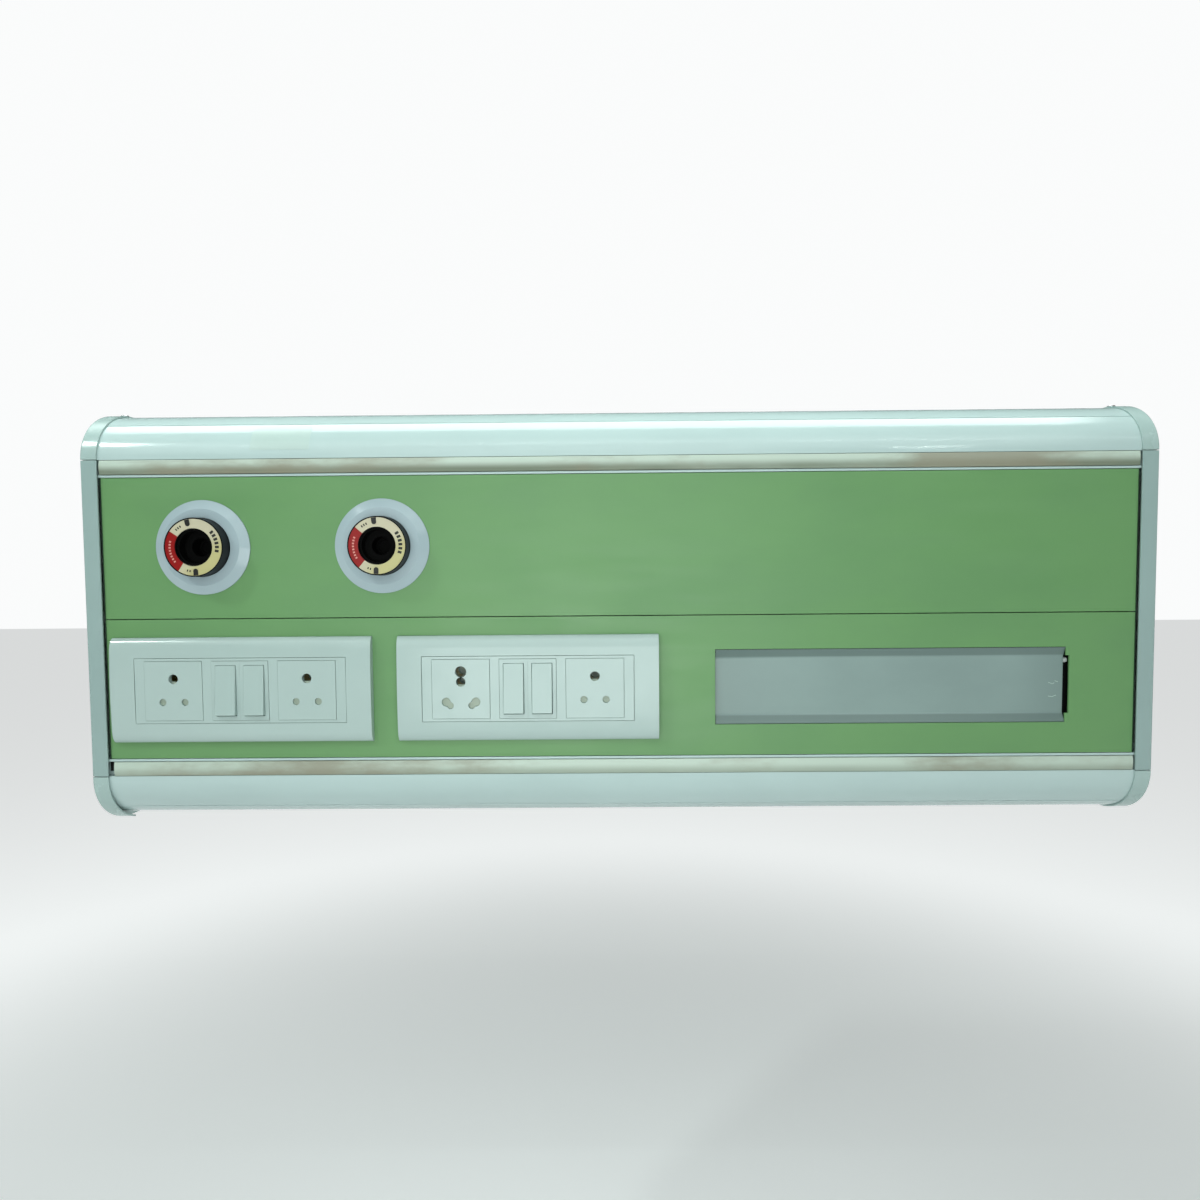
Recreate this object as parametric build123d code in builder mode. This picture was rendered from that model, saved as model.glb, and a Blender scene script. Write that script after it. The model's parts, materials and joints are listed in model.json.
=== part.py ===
from build123d import *
import os
from math import cos, radians, sin

os.makedirs("parts", exist_ok=True)

# Bed head unit, in millimetres.
# X runs along the wall to the right, Y points into the wall, Z is up.
# The origin is the middle of the back face, level with the seam between the two covers.

# Overall size
LENGTH = 915.0
DEPTH = 78.0
WALL = 2.0

# Front bands, from the middle seam outwards, the same above and below
PANEL_SEAM = 0.8
PANEL_HEIGHT = 121.0
PANEL_SLACK = 0.4
LIP_HEIGHT = 2.0
STRIP_HEIGHT = 12.0
STRIP_SLACK = 0.4
NOSE_HEIGHT = 44.0
NOSE_DEPTH = 55.0

# Body profiles
LIP_SETBACK = 0.8
GROOVE_DEPTH = 6.0
LEG_DEPTH = 16.0
HOOK_DROP = 5.0
LAP = 14.0
CREASE_ANGLE = 45.0
CREASE_RADIUS = 0.6
STRIP_PROUD = 1.0
STRIP_CROWN = 0.8
STRIP_SHORTFALL = 3.2

# Covers
PANEL_RECESS = 1.5
PANEL_SHEET = 2.0
PANEL_END_GAP = 1.6

# Ends
TRIM_WIDTH = 14.0
CAP_WALL = 2.0
CAP_PROUD = 1.5
CAP_FIT = 0.1
CAP_SEAM = 0.8
CAP_EDGE_RADIUS = 1.4
END_PLATE = 2.0

# The left bottom cap has sprung a little and the back of its rim has broken off
SPRUNG_ANGLE = 4.0
# Line of the break, as (from the end, y)
BREAK_LINE = ((0.0, -30.0), (3.2, -34.5), (5.6, -32.0), (9.0, -38.5), (11.0, -36.5), (16.0, -42.0))

# Partition rail between the gas side and the electrical side
RAIL_FLANGE = 14.0
RAIL_FOOT = 24.0

# Fixings
WALL_HOLE_FROM_END = 57.5
WALL_HOLE_FROM_LAP = 36.6
WALL_HOLE_RADIUS = 3.25
SCREW_RADIUS = 1.6
SCREW_HEAD_RADIUS = 3.4
SCREW_HEAD_HEIGHT = 1.8
SCREW_LENGTH = 7.0
SCREW_HOLE_SLACK = 0.1
TOP_SCREW_FROM_FRONT = 56.0
TRIM_SCREW_FROM_END = 66.6
SIDE_SCREW_FROM_FRONT = 40.0
CAP_SIDE_SCREW_RISE = 18.0

# Entries in the back plate: (from the left end, from its lower or upper edge)
CABLE_ENTRY = (517.5, 36.6)
PIPE_ENTRY = (179.0, 40.6)
GROMMET_HOLE_RADIUS = 12.5
GROMMET_BORE_RADIUS = 10.0
GROMMET_FLANGE_RADIUS = 16.0
GROMMET_FLANGE = 2.0
GROMMET_FIT = 0.1

# Oxygen outlets
OUTLETS_FROM_LEFT = (102.0, 256.0)
OUTLET_RISE = 0.6
OUTLET_TURN = (8.4, 1.8)
OUTLET_REACH = 16.0
BEZEL_RADIUS = 40.5
BEZEL_SLOPE = 7.5
BEZEL_RISE = 5.0
BEZEL_EDGE = 1.0
BEZEL_WALL = 2.0
BEZEL_SKIRT = 8.0
BEZEL_HOLE_SLACK = 0.5
COLLAR_RADIUS = 24.8
COLLAR_GAP = 0.5
COLLAR_FLANGE = 3.0
COLLAR_TAIL = 2.0
PROBE_MOUTH_RADIUS = 15.5
LABEL_RADIUS = 23.8
LABEL_INNER_RADIUS = 15.9
LABEL_THICKNESS = 0.6
LABEL_FIT = 0.1
COLLAR_RIM = 0.2
NOTCH_WIDTH = 4.7
NOTCH_FOOT_RADIUS = 17.6
BARREL_RADIUS = 20.0
BARREL_GAP = 0.4
BARREL_CUP_RADIUS = 14.0
BARREL_CUP_DEPTH = 10.0
PROBE_RADIUS = 8.0
PROBE_DEPTH = 14.0
SEAT_RADIUS = 6.2
SEAT_THICKNESS = 2.0
CHAMBER_RADIUS = 9.0
CHAMBER_LENGTH = 24.0
POPPET_GAP = 0.4
POPPET_SETBACK = 0.3
POPPET_HEAD = 5.0
POPPET_STEM_RADIUS = 3.0
POPPET_STEM = 6.0
SPRING_RADIUS = 5.4
SPRING_WIRE_RADIUS = 0.6
SPRING_TURNS = 4
VALVE_BLOCK = 44.0
VALVE_BLOCK_DEPTH = 28.0
VALVE_FOOT_LENGTH = 64.0
VALVE_FOOT = 3.0
VALVE_SCREW_SPACING = 54.0
PIPE_RADIUS = 6.0
PIPE_WALL = 1.0
PIPE_SEAT = 8.0
PIPE_LENGTH = 36.0
PIPE_FIT = 0.05

# Socket and switch plates
PLATES_FROM_LEFT = (133.5, 380.0)
PLATE_DROP = 0.4
PLATE_END = 21.4
PLATE_BORDER = 17.5
PLATE_RISE = 8.5
PLATE_CROWN = 0.9
PLATE_EDGE = 1.5
PLATE_SHOULDER = 12.0
PLATE_WALL = 2.0
FASCIA_END = 8.6
FASCIA_BORDER = 2.5
FASCIA_SET = 0.6
FASCIA_SLACK = 0.3
FASCIA_THICKNESS = 3.0
FASCIA_WALL = 1.6
GRID_FLANGE = 2.0
GRID_FLANGE_INSET = (8.0, 3.5)
PANEL_APERTURE_SLACK = 1.0
MODULE_GAP = 8.3
MODULE_HEIGHT = 51.0
MODULE_SLACK = 0.2
MODULE_PROUD = 0.4
MODULE_SHOULDER = 1.2
SOCKET_LENGTH = 49.4
SOCKET_DEPTH = 30.0
SWITCH_LENGTH = 24.3
SWITCH_DEPTH = 26.0

# Pins of the sockets: (across, up) from the module's centre, then the hole's radius
SMALL_EARTH = (0.0, 10.3, 4.1)
SMALL_LIVE = (9.5, -9.7, 3.0)
COMBI_BIG_EARTH = (0.0, 14.8, 4.8)
COMBI_SMALL_EARTH = (0.0, 6.1, 4.0)
COMBI_BIG_LIVE = (12.7, -11.1, 3.8)
COMBI_SMALL_LIVE = (9.2, -14.1, 2.9)
PIN_DEPTH = 24.0
CONTACT_WALL = 0.8
CONTACT_LENGTH = 12.0
SHUTTER_SETBACK = 2.4
SHUTTER_THICKNESS = 2.2
SHUTTER_GAP = 0.3
SHUTTER_TRAVEL = 6.0
SHUTTER_MARGIN = 1.2
SHUTTER_STEM = 6.0
SHUTTER_EARTH_REACH = 1.5

# Rockers
ROCKER_LENGTH = 17.2
ROCKER_HEIGHT = 42.7
ROCKER_SIDE_GAP = 0.3
ROCKER_END_GAP = 0.6
ROCKER_PROUD = 2.6
ROCKER_THICKNESS = 7.2
ROCKER_PIVOT_DEPTH = 3.4
ROCKER_TILT = 5.0
ROCKER_EDGE_RADIUS = 0.5
ROCKER_PIN_RADIUS = 1.5
ROCKER_PIN_FIT = 0.05
ROCKER_PIN_REACH = 1.6
ROCKER_PIN_SOCKET = 2.0
ROCKER_NOSE = 6.0
ROCKER_NOSE_WIDTH = 4.0
ROCKER_WELL = 15.0

# Reading light
LIGHT_FROM_PLATE = 48.85
LIGHT_FROM_RIGHT = 70.65
LIGHT_DROP = 1.4
LIGHT_HEIGHT = 65.1
DIFFUSER_SHORTFALL = 3.4
DIFFUSER_SLACK = 0.4
DIFFUSER_RECESS = 4.0
DIFFUSER_LIP = 8.0
DIFFUSER_SHEET = 1.8
DIFFUSER_LEG = 14.0
HOUSING_DEPTH = 36.0
HOUSING_WALL = 1.5
HOUSING_END_MARGIN = 2.0
BOARD_HEIGHT = 30.0
BOARD_END_MARGIN = 8.0
BOARD_THICKNESS = 1.6
CHIP_SIZE = 5.0
CHIP_THICKNESS = 1.0
CHIP_COUNT = 12
TAB_DEPTH = 3.0
TAB_SETBACK = 6.0
TAB_GAP = 0.6
LIGHT_SCREW_RISE = 20.4
LIGHT_SCREW_HEAD_RADIUS = 2.2
DRIVER_LENGTH = 120.0
DRIVER_HEIGHT = 32.0
DRIVER_DEPTH = 20.0
DRIVER_EDGE_RADIUS = 2.0

QUARTER_TURN = 90.0

# Levels worked out from the sizes above
FRONT = -DEPTH
PANEL_EDGE = PANEL_SEAM / 2 + PANEL_HEIGHT
LIP_START = PANEL_EDGE + PANEL_SLACK
GROOVE_START = LIP_START + LIP_HEIGHT
NOSE_START = GROOVE_START + STRIP_HEIGHT + 2 * STRIP_SLACK
COVER_MIDDLE = (PANEL_SEAM + PANEL_HEIGHT) / 2
OUTLET_Z = COVER_MIDDLE + OUTLET_RISE
PLATE_Z = -COVER_MIDDLE - PLATE_DROP
LIGHT_Z = -COVER_MIDDLE - LIGHT_DROP
LIGHT_SCREW_Z = LIGHT_Z + LIGHT_SCREW_RISE
TRIM_SCREW_Z = NOSE_START - TRIM_SCREW_FROM_END
TOP = NOSE_START + NOSE_HEIGHT
LEG_END = FRONT + LEG_DEPTH
PANEL_Y = FRONT + PANEL_RECESS
PANEL_BACK = PANEL_Y + PANEL_SHEET
HALF_LENGTH = LENGTH / 2
OUTLET_X = [distance - HALF_LENGTH for distance in OUTLETS_FROM_LEFT]
PLATE_X = [distance - HALF_LENGTH for distance in PLATES_FROM_LEFT]
MODULE_PITCH = SOCKET_LENGTH / 2 + SWITCH_LENGTH + MODULE_GAP
FASCIA_LENGTH = 2 * MODULE_PITCH + SOCKET_LENGTH + 2 * FASCIA_END
FASCIA_HEIGHT = MODULE_HEIGHT + 2 * FASCIA_BORDER
PLATE_LENGTH = FASCIA_LENGTH + 2 * PLATE_END
PLATE_HEIGHT = FASCIA_HEIGHT + 2 * PLATE_BORDER
GRID_FLANGE_LENGTH = PLATE_LENGTH - 2 * GRID_FLANGE_INSET[0]
GRID_FLANGE_HEIGHT = PLATE_HEIGHT - 2 * GRID_FLANGE_INSET[1]
GRID_SCREW_SPACING = (FASCIA_LENGTH + GRID_FLANGE_LENGTH) / 2
LIGHT_LEFT = PLATE_X[1] + PLATE_LENGTH / 2 + LIGHT_FROM_PLATE
LIGHT_RIGHT = HALF_LENGTH - LIGHT_FROM_RIGHT
LIGHT_X = (LIGHT_LEFT + LIGHT_RIGHT) / 2
LIGHT_LENGTH = LIGHT_RIGHT - LIGHT_LEFT
WALL_HOLE_X = HALF_LENGTH - WALL_HOLE_FROM_END
WALL_HOLE_Z = NOSE_START - WALL_HOLE_FROM_LAP
GROMMETS = [
    (CABLE_ENTRY[0] - HALF_LENGTH, CABLE_ENTRY[1] - NOSE_START),
    (PIPE_ENTRY[0] - HALF_LENGTH, NOSE_START - PIPE_ENTRY[1]),
]
END_PLATE_X = HALF_LENGTH - CAP_WALL - END_PLATE
TRIM_INNER = HALF_LENGTH - TRIM_WIDTH
PANEL_HALF = TRIM_INNER - PANEL_END_GAP
FASCIA_Y = PANEL_Y - PLATE_RISE + FASCIA_SET
FASCIA_BACK = FASCIA_Y + FASCIA_THICKNESS
MODULE_FACE = FASCIA_Y - MODULE_PROUD
LABEL_Y = FRONT - OUTLET_REACH
COLLAR_FACE = LABEL_Y + LABEL_THICKNESS
COLLAR_INSIDE = COLLAR_FACE + COLLAR_FLANGE
BARREL_FRONT = COLLAR_INSIDE + BARREL_GAP
BARREL_CUP = BARREL_FRONT + BARREL_CUP_DEPTH
SEAT_FRONT = BARREL_CUP + PROBE_DEPTH
SEAT_BACK = SEAT_FRONT + SEAT_THICKNESS
CHAMBER_END = SEAT_BACK + CHAMBER_LENGTH
POPPET_BACK = SEAT_BACK + POPPET_HEAD
PIPE_Y = -WALL - VALVE_BLOCK_DEPTH / 2
BEZEL_BORE = COLLAR_RADIUS + COLLAR_GAP
BEZEL_SKIRT_RADIUS = BEZEL_BORE + BEZEL_WALL
BEZEL_HOLE = BEZEL_SKIRT_RADIUS + BEZEL_HOLE_SLACK
SCREW_HOLE = SCREW_RADIUS + SCREW_HOLE_SLACK
BODY_SCREW_X = (-WALL_HOLE_X, 0, WALL_HOLE_X)
LAP_SCREW_Z = NOSE_START - LAP / 2
RAIL_SCREW_Z = RAIL_FOOT / 4
BODY_SCREWS = [(x, z) for x in BODY_SCREW_X for z in (-LAP_SCREW_Z, RAIL_SCREW_Z, LAP_SCREW_Z)]
SIDE_SCREW_Y = FRONT + SIDE_SCREW_FROM_FRONT
CAP_SIDE_SCREW_Z = NOSE_START + CAP_SIDE_SCREW_RISE
SIDES = (("left", -1), ("right", 1))


def finish(piece, node):
    """Label a finished piece and write it as its own file."""
    piece.part.label = node
    export_step(piece.part, f"parts/{node}.step")


def bar(first, second, mode=Mode.ADD):
    """Rectangle in the sketch being drawn, from two (low, high) pairs."""
    with Locations((sum(first) / 2, sum(second) / 2)):
        Rectangle(first[1] - first[0], second[1] - second[0], mode=mode)


def block(x, y, z, mode=Mode.ADD):
    """Box in the part being built, from three (low, high) pairs."""
    with Locations((sum(x) / 2, sum(y) / 2, sum(z) / 2)):
        Box(x[1] - x[0], y[1] - y[0], z[1] - z[0], mode=mode)


def about(middle, size):
    """The (low, high) pair of a size centred on a middle."""
    return (middle - size / 2, middle + size / 2)


def facing(x, y, z):
    """Plane at a point, looking out of the wall, with X to the right and Z up."""
    return Plane(origin=(x, y, z), x_dir=(1, 0, 0), z_dir=(0, -1, 0))


def turned(x, z, *outline):
    """Solid turned about the Y axis through (x, z); the points are (radius, y)."""
    with BuildPart() as piece:
        with BuildSketch(Plane(origin=(x, 0, z), x_dir=(1, 0, 0), z_dir=(0, 0, 1))):
            with BuildLine():
                Polyline(*outline, close=True)
            make_face()
        revolve(axis=Axis((x, 0, z), (0, 1, 0)))
    return piece.part


# Body profiles

def nose_face(grow=0.0, back=0.0, start=NOSE_START, mode=Mode.ADD):
    """Area under the curved nose, grown outwards, from a level up to the top."""
    middle = FRONT + NOSE_DEPTH
    with BuildLine() as outline:
        front_curve = EllipticalCenterArc(
            (middle, start),
            NOSE_DEPTH + grow,
            TOP - start + grow,
            start_angle=QUARTER_TURN,
            arc_size=QUARTER_TURN,
        )
        Polyline(front_curve @ 0, (-back, TOP + grow), (-back, start), front_curve @ 1)
    make_face(outline.edges(), mode=mode)


def crease_point():
    """Point on the nose where the curve changes its sweep."""
    reach = NOSE_DEPTH * (1 - cos(radians(CREASE_ANGLE)))
    return (FRONT + reach, NOSE_START + NOSE_HEIGHT * sin(radians(CREASE_ANGLE)))


with BuildPart() as top_profile:
    with BuildSketch(Plane.YZ):
        nose_face()
        nose_face(grow=-WALL, back=WALL, mode=Mode.SUBTRACT)
        with Locations(crease_point()):
            Circle(CREASE_RADIUS, mode=Mode.SUBTRACT)
        bar((FRONT + WALL / 2, -WALL / 2), (NOSE_START, NOSE_START + WALL))
        bar((FRONT + GROOVE_DEPTH, FRONT + GROOVE_DEPTH + WALL), (LIP_START, NOSE_START + WALL))
        bar((FRONT + LIP_SETBACK, LEG_END + WALL), (LIP_START, GROOVE_START))
        bar((LEG_END, LEG_END + WALL), (LIP_START - HOOK_DROP, GROOVE_START))
        bar((-2 * WALL, -WALL), (NOSE_START - LAP, NOSE_START + WALL))
    extrude(amount=END_PLATE_X, both=True)
    for x in BODY_SCREW_X:
        with Locations(facing(x, -2 * WALL, LAP_SCREW_Z)):
            Hole(SCREW_HOLE, depth=WALL)
    for x in (TRIM_WIDTH / 2 - HALF_LENGTH, HALF_LENGTH - TRIM_WIDTH / 2):
        with Locations((x, FRONT + TOP_SCREW_FROM_FRONT, TOP)):
            Hole(SCREW_HOLE, depth=WALL)
finish(top_profile, "top_profile")

with BuildPart() as bottom_profile:
    add(mirror(top_profile.part, about=Plane.XY, mode=Mode.PRIVATE))
finish(bottom_profile, "bottom_profile")

with BuildPart() as back_plate:
    block((-END_PLATE_X, END_PLATE_X), (-WALL, 0), (-NOSE_START, NOSE_START))
    with Locations(facing(0, -WALL, 0)):
        with GridLocations(2 * WALL_HOLE_X, 2 * WALL_HOLE_Z, 2, 2):
            Hole(WALL_HOLE_RADIUS, depth=WALL)
        with Locations(*GROMMETS):
            Hole(GROMMET_HOLE_RADIUS, depth=WALL)
        with Locations(*BODY_SCREWS):
            Hole(SCREW_HOLE, depth=WALL)
finish(back_plate, "back_plate")

with BuildPart() as partition_rail:
    with BuildSketch(Plane.YZ):
        bar((LEG_END, -WALL), about(0, WALL))
        bar((LEG_END, LEG_END + WALL), about(0, RAIL_FLANGE))
        bar((-2 * WALL, -WALL), about(0, RAIL_FOOT))
    extrude(amount=END_PLATE_X, both=True)
    for x in BODY_SCREW_X:
        with Locations(facing(x, -2 * WALL, RAIL_SCREW_Z)):
            Hole(SCREW_HOLE, depth=WALL)
finish(partition_rail, "partition_rail")


# Bumper strips

def strip(start, end, side):
    """Bumper strip from one X to another; side is 1 above the covers and -1 below."""
    low = GROOVE_START + STRIP_SLACK
    high = low + STRIP_HEIGHT
    face = FRONT - STRIP_PROUD + STRIP_CROWN
    with BuildPart() as piece:
        with BuildSketch(Plane.YZ.offset(start)):
            with BuildLine():
                crown = ThreePointArc(
                    (face, side * low), (FRONT - STRIP_PROUD, side * (low + high) / 2), (face, side * high)
                )
                back = FRONT + GROOVE_DEPTH
                Polyline(crown @ 1, (back, side * high), (back, side * low), crown @ 0)
            make_face()
        extrude(amount=end - start)
    return piece


finish(strip(-PANEL_HALF, PANEL_HALF, 1), "top_bumper_strip")
finish(strip(STRIP_SHORTFALL - PANEL_HALF, PANEL_HALF, -1), "bottom_bumper_strip")


# Snap-in covers

def cover_blank(side):
    """Cover with its two legs, before its openings; side is 1 above the seam and -1 below."""
    edges = sorted((side * PANEL_SEAM / 2, side * PANEL_EDGE))
    with BuildPart() as piece:
        with BuildSketch(Plane.YZ):
            bar((PANEL_Y, LEG_END), edges)
            bar((PANEL_BACK, LEG_END), (edges[0] + PANEL_SHEET, edges[1] - PANEL_SHEET), Mode.SUBTRACT)
        extrude(amount=PANEL_HALF, both=True)
    return piece.part


with BuildPart() as upper_panel:
    add(cover_blank(1))
    with Locations(*[facing(x, PANEL_Y, OUTLET_Z) for x in OUTLET_X]):
        Hole(BEZEL_HOLE, depth=PANEL_SHEET)
finish(upper_panel, "upper_panel")

GRID_APERTURE = (FASCIA_LENGTH + 2 * PANEL_APERTURE_SLACK, FASCIA_HEIGHT + 2 * PANEL_APERTURE_SLACK)
DIFFUSER_LEFT = LIGHT_LEFT + DIFFUSER_SLACK
DIFFUSER_RIGHT = LIGHT_RIGHT - DIFFUSER_SHORTFALL

with BuildPart() as lower_panel:
    add(cover_blank(-1))
    with BuildSketch(facing(0, PANEL_Y, 0)):
        for x in PLATE_X:
            with Locations((x, PLATE_Z)):
                Rectangle(*GRID_APERTURE)
        with Locations((LIGHT_X, LIGHT_Z)):
            Rectangle(LIGHT_LENGTH, LIGHT_HEIGHT)
    extrude(amount=-PANEL_SHEET, mode=Mode.SUBTRACT)
    for x in PLATE_X:
        with Locations(facing(x, PANEL_Y, PLATE_Z)):
            with GridLocations(GRID_SCREW_SPACING, 1, 2, 1):
                Hole(SCREW_HOLE, depth=PANEL_SHEET)
finish(lower_panel, "lower_panel")


# Ends

def end_plate(side):
    """Flat plate that closes one end of the body."""
    with BuildPart() as piece:
        with BuildSketch(Plane.YZ.offset(side * END_PLATE_X)):
            nose_face()
            bar((FRONT, 0), (-NOSE_START, NOSE_START))
            mirror(about=Plane.XZ)
        extrude(amount=side * END_PLATE)
        for z in (-CAP_SIDE_SCREW_Z, -TRIM_SCREW_Z, TRIM_SCREW_Z, CAP_SIDE_SCREW_Z):
            with Locations(Plane(origin=(side * END_PLATE_X, SIDE_SCREW_Y, z), z_dir=(-side, 0, 0))):
                Hole(SCREW_HOLE, depth=END_PLATE)
    return piece


def trim(side):
    """Straight moulding over one end: a front flange and a side wall."""
    with BuildPart() as piece:
        with BuildSketch():
            bar(sorted((side * TRIM_INNER, side * HALF_LENGTH)), (FRONT - CAP_PROUD, FRONT))
            bar(sorted((side * (HALF_LENGTH - CAP_WALL), side * HALF_LENGTH)), (FRONT - CAP_PROUD, 0))
        extrude(amount=NOSE_START - CAP_SEAM / 2, both=True)
        outer = piece.edges().filter_by(Axis.Z).group_by(Axis.Y)[0].sort_by(Axis.X)
        fillet(outer[0 if side < 0 else -1], CAP_EDGE_RADIUS)
        for z in (-TRIM_SCREW_Z, TRIM_SCREW_Z):
            with Locations(Plane(origin=(side * HALF_LENGTH, SIDE_SCREW_Y, z), z_dir=(side, 0, 0))):
                Hole(SCREW_HOLE, depth=CAP_WALL)
    return piece


def corner_cap(side):
    """Upper corner cap: a side wall, and a rim that follows the nose from front to wall."""
    start = NOSE_START + CAP_SEAM / 2
    with BuildPart() as piece:
        with BuildSketch(Plane.YZ.offset(side * HALF_LENGTH)):
            nose_face(grow=CAP_PROUD, start=start)
        extrude(amount=-side * TRIM_WIDTH)
        with BuildSketch(Plane.YZ.offset(side * (HALF_LENGTH - CAP_WALL))):
            nose_face(grow=CAP_FIT, start=start)
        extrude(amount=-side * TRIM_WIDTH, mode=Mode.SUBTRACT)
        outer = piece.faces().sort_by(Axis.X)[0 if side < 0 else -1]
        fillet(outer.edges().sort_by(Axis.Z)[-2:], CAP_EDGE_RADIUS)
        flange_x = side * (HALF_LENGTH - TRIM_WIDTH / 2)
        with Locations((flange_x, FRONT + TOP_SCREW_FROM_FRONT, TOP + CAP_PROUD)):
            Hole(SCREW_HOLE, depth=2 * CAP_PROUD)
        side_screw = (side * HALF_LENGTH, SIDE_SCREW_Y, CAP_SIDE_SCREW_Z)
        with Locations(Plane(origin=side_screw, z_dir=(side, 0, 0))):
            Hole(SCREW_HOLE, depth=CAP_WALL)
    return piece


def break_off_rim():
    """Cut the rim of the left bottom cap away behind the line of its break."""
    with BuildSketch(Plane.XY.offset(-TOP - 2 * CAP_PROUD)) as lost:
        with BuildLine() as outline:
            front = [(distance + CAP_WALL - HALF_LENGTH, y) for distance, y in BREAK_LINE]
            Polyline(*front, (front[-1][0], CAP_PROUD), (front[0][0], CAP_PROUD), close=True)
        make_face(outline.edges())
    extrude(lost.sketch, amount=NOSE_HEIGHT / 2, mode=Mode.SUBTRACT)


for name, side in SIDES:
    finish(end_plate(side), f"{name}_end_plate")
    finish(trim(side), f"{name}_trim")
    top_cap = corner_cap(side)
    finish(top_cap, f"{name}_top_cap")
    with BuildPart() as bottom_cap:
        add(mirror(top_cap.part, about=Plane.XY, mode=Mode.PRIVATE))
        if side < 0:
            break_off_rim()
            hinge_line = Axis((0, FRONT - CAP_PROUD, -NOSE_START), (1, 0, 0))
            bottom_cap.part = bottom_cap.part.rotate(hinge_line, -SPRUNG_ANGLE)
    finish(bottom_cap, f"{name}_bottom_cap")


# Screws

def pan_screw(place, head_radius=SCREW_HEAD_RADIUS, length=SCREW_LENGTH):
    """Pan-head screw whose head sits on a plane and whose shank runs into it."""
    with BuildPart(mode=Mode.PRIVATE) as piece:
        with BuildSketch(place):
            Circle(head_radius)
        extrude(amount=SCREW_HEAD_HEIGHT)
        fillet(piece.faces().sort_by(Axis(place.origin, place.z_dir))[-1].edges(), SCREW_HEAD_HEIGHT / 2)
        with BuildSketch(place):
            Circle(SCREW_RADIUS)
        extrude(amount=-length)
    return piece.part


def end_screw_places():
    """Planes under the heads of the screws that hold the end trims and caps."""
    places = []
    for name, side in SIDES:
        x = side * HALF_LENGTH
        for z in (-TRIM_SCREW_Z, TRIM_SCREW_Z, CAP_SIDE_SCREW_Z):
            places.append(Plane(origin=(x, SIDE_SCREW_Y, z), z_dir=(side, 0, 0)))
        top_x = side * (HALF_LENGTH - TRIM_WIDTH / 2)
        top_y = FRONT + TOP_SCREW_FROM_FRONT
        places.append(Plane(origin=(top_x, top_y, TOP + CAP_PROUD), z_dir=(0, 0, 1)))
    places.append(Plane(origin=(HALF_LENGTH, SIDE_SCREW_Y, -CAP_SIDE_SCREW_Z), z_dir=(1, 0, 0)))
    return places


with BuildPart() as body_screws:
    for x, z in BODY_SCREWS:
        add(pan_screw(facing(x, -2 * WALL, z), length=2 * WALL))
    for place in end_screw_places():
        add(pan_screw(place))
finish(body_screws, "body_screws")

with BuildPart() as entry_grommets:
    for x, z in GROMMETS:
        add(
            turned(
                x,
                z,
                (GROMMET_BORE_RADIUS, 0),
                (GROMMET_HOLE_RADIUS - GROMMET_FIT, 0),
                (GROMMET_HOLE_RADIUS - GROMMET_FIT, -WALL),
                (GROMMET_FLANGE_RADIUS, -WALL),
                (GROMMET_FLANGE_RADIUS, -WALL - GROMMET_FLANGE),
                (GROMMET_BORE_RADIUS, -WALL - GROMMET_FLANGE),
            )
        )
finish(entry_grommets, "entry_grommets")


# Oxygen outlets

def bezel(x):
    """Round moulded cover with a sloped rim and a skirt through the panel."""
    face = PANEL_Y - BEZEL_RISE
    slope_end = BEZEL_RADIUS - BEZEL_SLOPE
    return turned(
        x,
        OUTLET_Z,
        (BEZEL_RADIUS, PANEL_Y),
        (BEZEL_RADIUS, PANEL_Y - BEZEL_EDGE),
        (slope_end, face),
        (BEZEL_BORE, face),
        (BEZEL_BORE, PANEL_Y + BEZEL_SKIRT),
        (BEZEL_SKIRT_RADIUS, PANEL_Y + BEZEL_SKIRT),
        (BEZEL_SKIRT_RADIUS, face + BEZEL_WALL),
        (slope_end, face + BEZEL_WALL),
        (BEZEL_RADIUS - BEZEL_WALL, PANEL_Y),
    )


def notches(x, turn, radius, near, far):
    """Cut the two pin notches, from a radius outwards, through a band along Y."""
    with BuildSketch(facing(x, far, OUTLET_Z).rotated((0, 0, turn))) as slots:
        for sign in (-1, 1):
            with Locations((0, sign * (NOTCH_FOOT_RADIUS + NOTCH_WIDTH / 2))):
                Circle(NOTCH_WIDTH / 2)
            with Locations((0, sign * (NOTCH_FOOT_RADIUS + NOTCH_WIDTH / 2 + radius) / 2)):
                Rectangle(NOTCH_WIDTH, radius - NOTCH_FOOT_RADIUS - NOTCH_WIDTH / 2)
    extrude(slots.sketch, amount=far - near, mode=Mode.SUBTRACT)


def collar(x, turn):
    """Black release collar round the probe mouth, with a rim round its label."""
    with BuildPart() as piece:
        add(
            turned(
                x,
                OUTLET_Z,
                (PROBE_MOUTH_RADIUS, COLLAR_FACE),
                (LABEL_RADIUS + LABEL_FIT, COLLAR_FACE),
                (LABEL_RADIUS + LABEL_FIT, LABEL_Y - COLLAR_RIM),
                (COLLAR_RADIUS, LABEL_Y - COLLAR_RIM),
                (COLLAR_RADIUS, PANEL_Y + COLLAR_TAIL),
                (BARREL_RADIUS + BARREL_GAP, PANEL_Y + COLLAR_TAIL),
                (BARREL_RADIUS + BARREL_GAP, COLLAR_INSIDE),
                (PROBE_MOUTH_RADIUS, COLLAR_INSIDE),
            )
        )
        notches(x, turn, LABEL_RADIUS + LABEL_FIT, LABEL_Y - COLLAR_RIM, COLLAR_INSIDE)
    return piece


def label_ring(x, turn):
    """Printed ring in the face of the collar."""
    with BuildPart() as piece:
        with BuildSketch(facing(x, COLLAR_FACE, OUTLET_Z)):
            Circle(LABEL_RADIUS)
            Circle(LABEL_INNER_RADIUS, mode=Mode.SUBTRACT)
        extrude(amount=LABEL_THICKNESS)
        notches(x, turn, LABEL_RADIUS + LABEL_FIT, LABEL_Y, COLLAR_FACE)
    return piece


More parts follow.
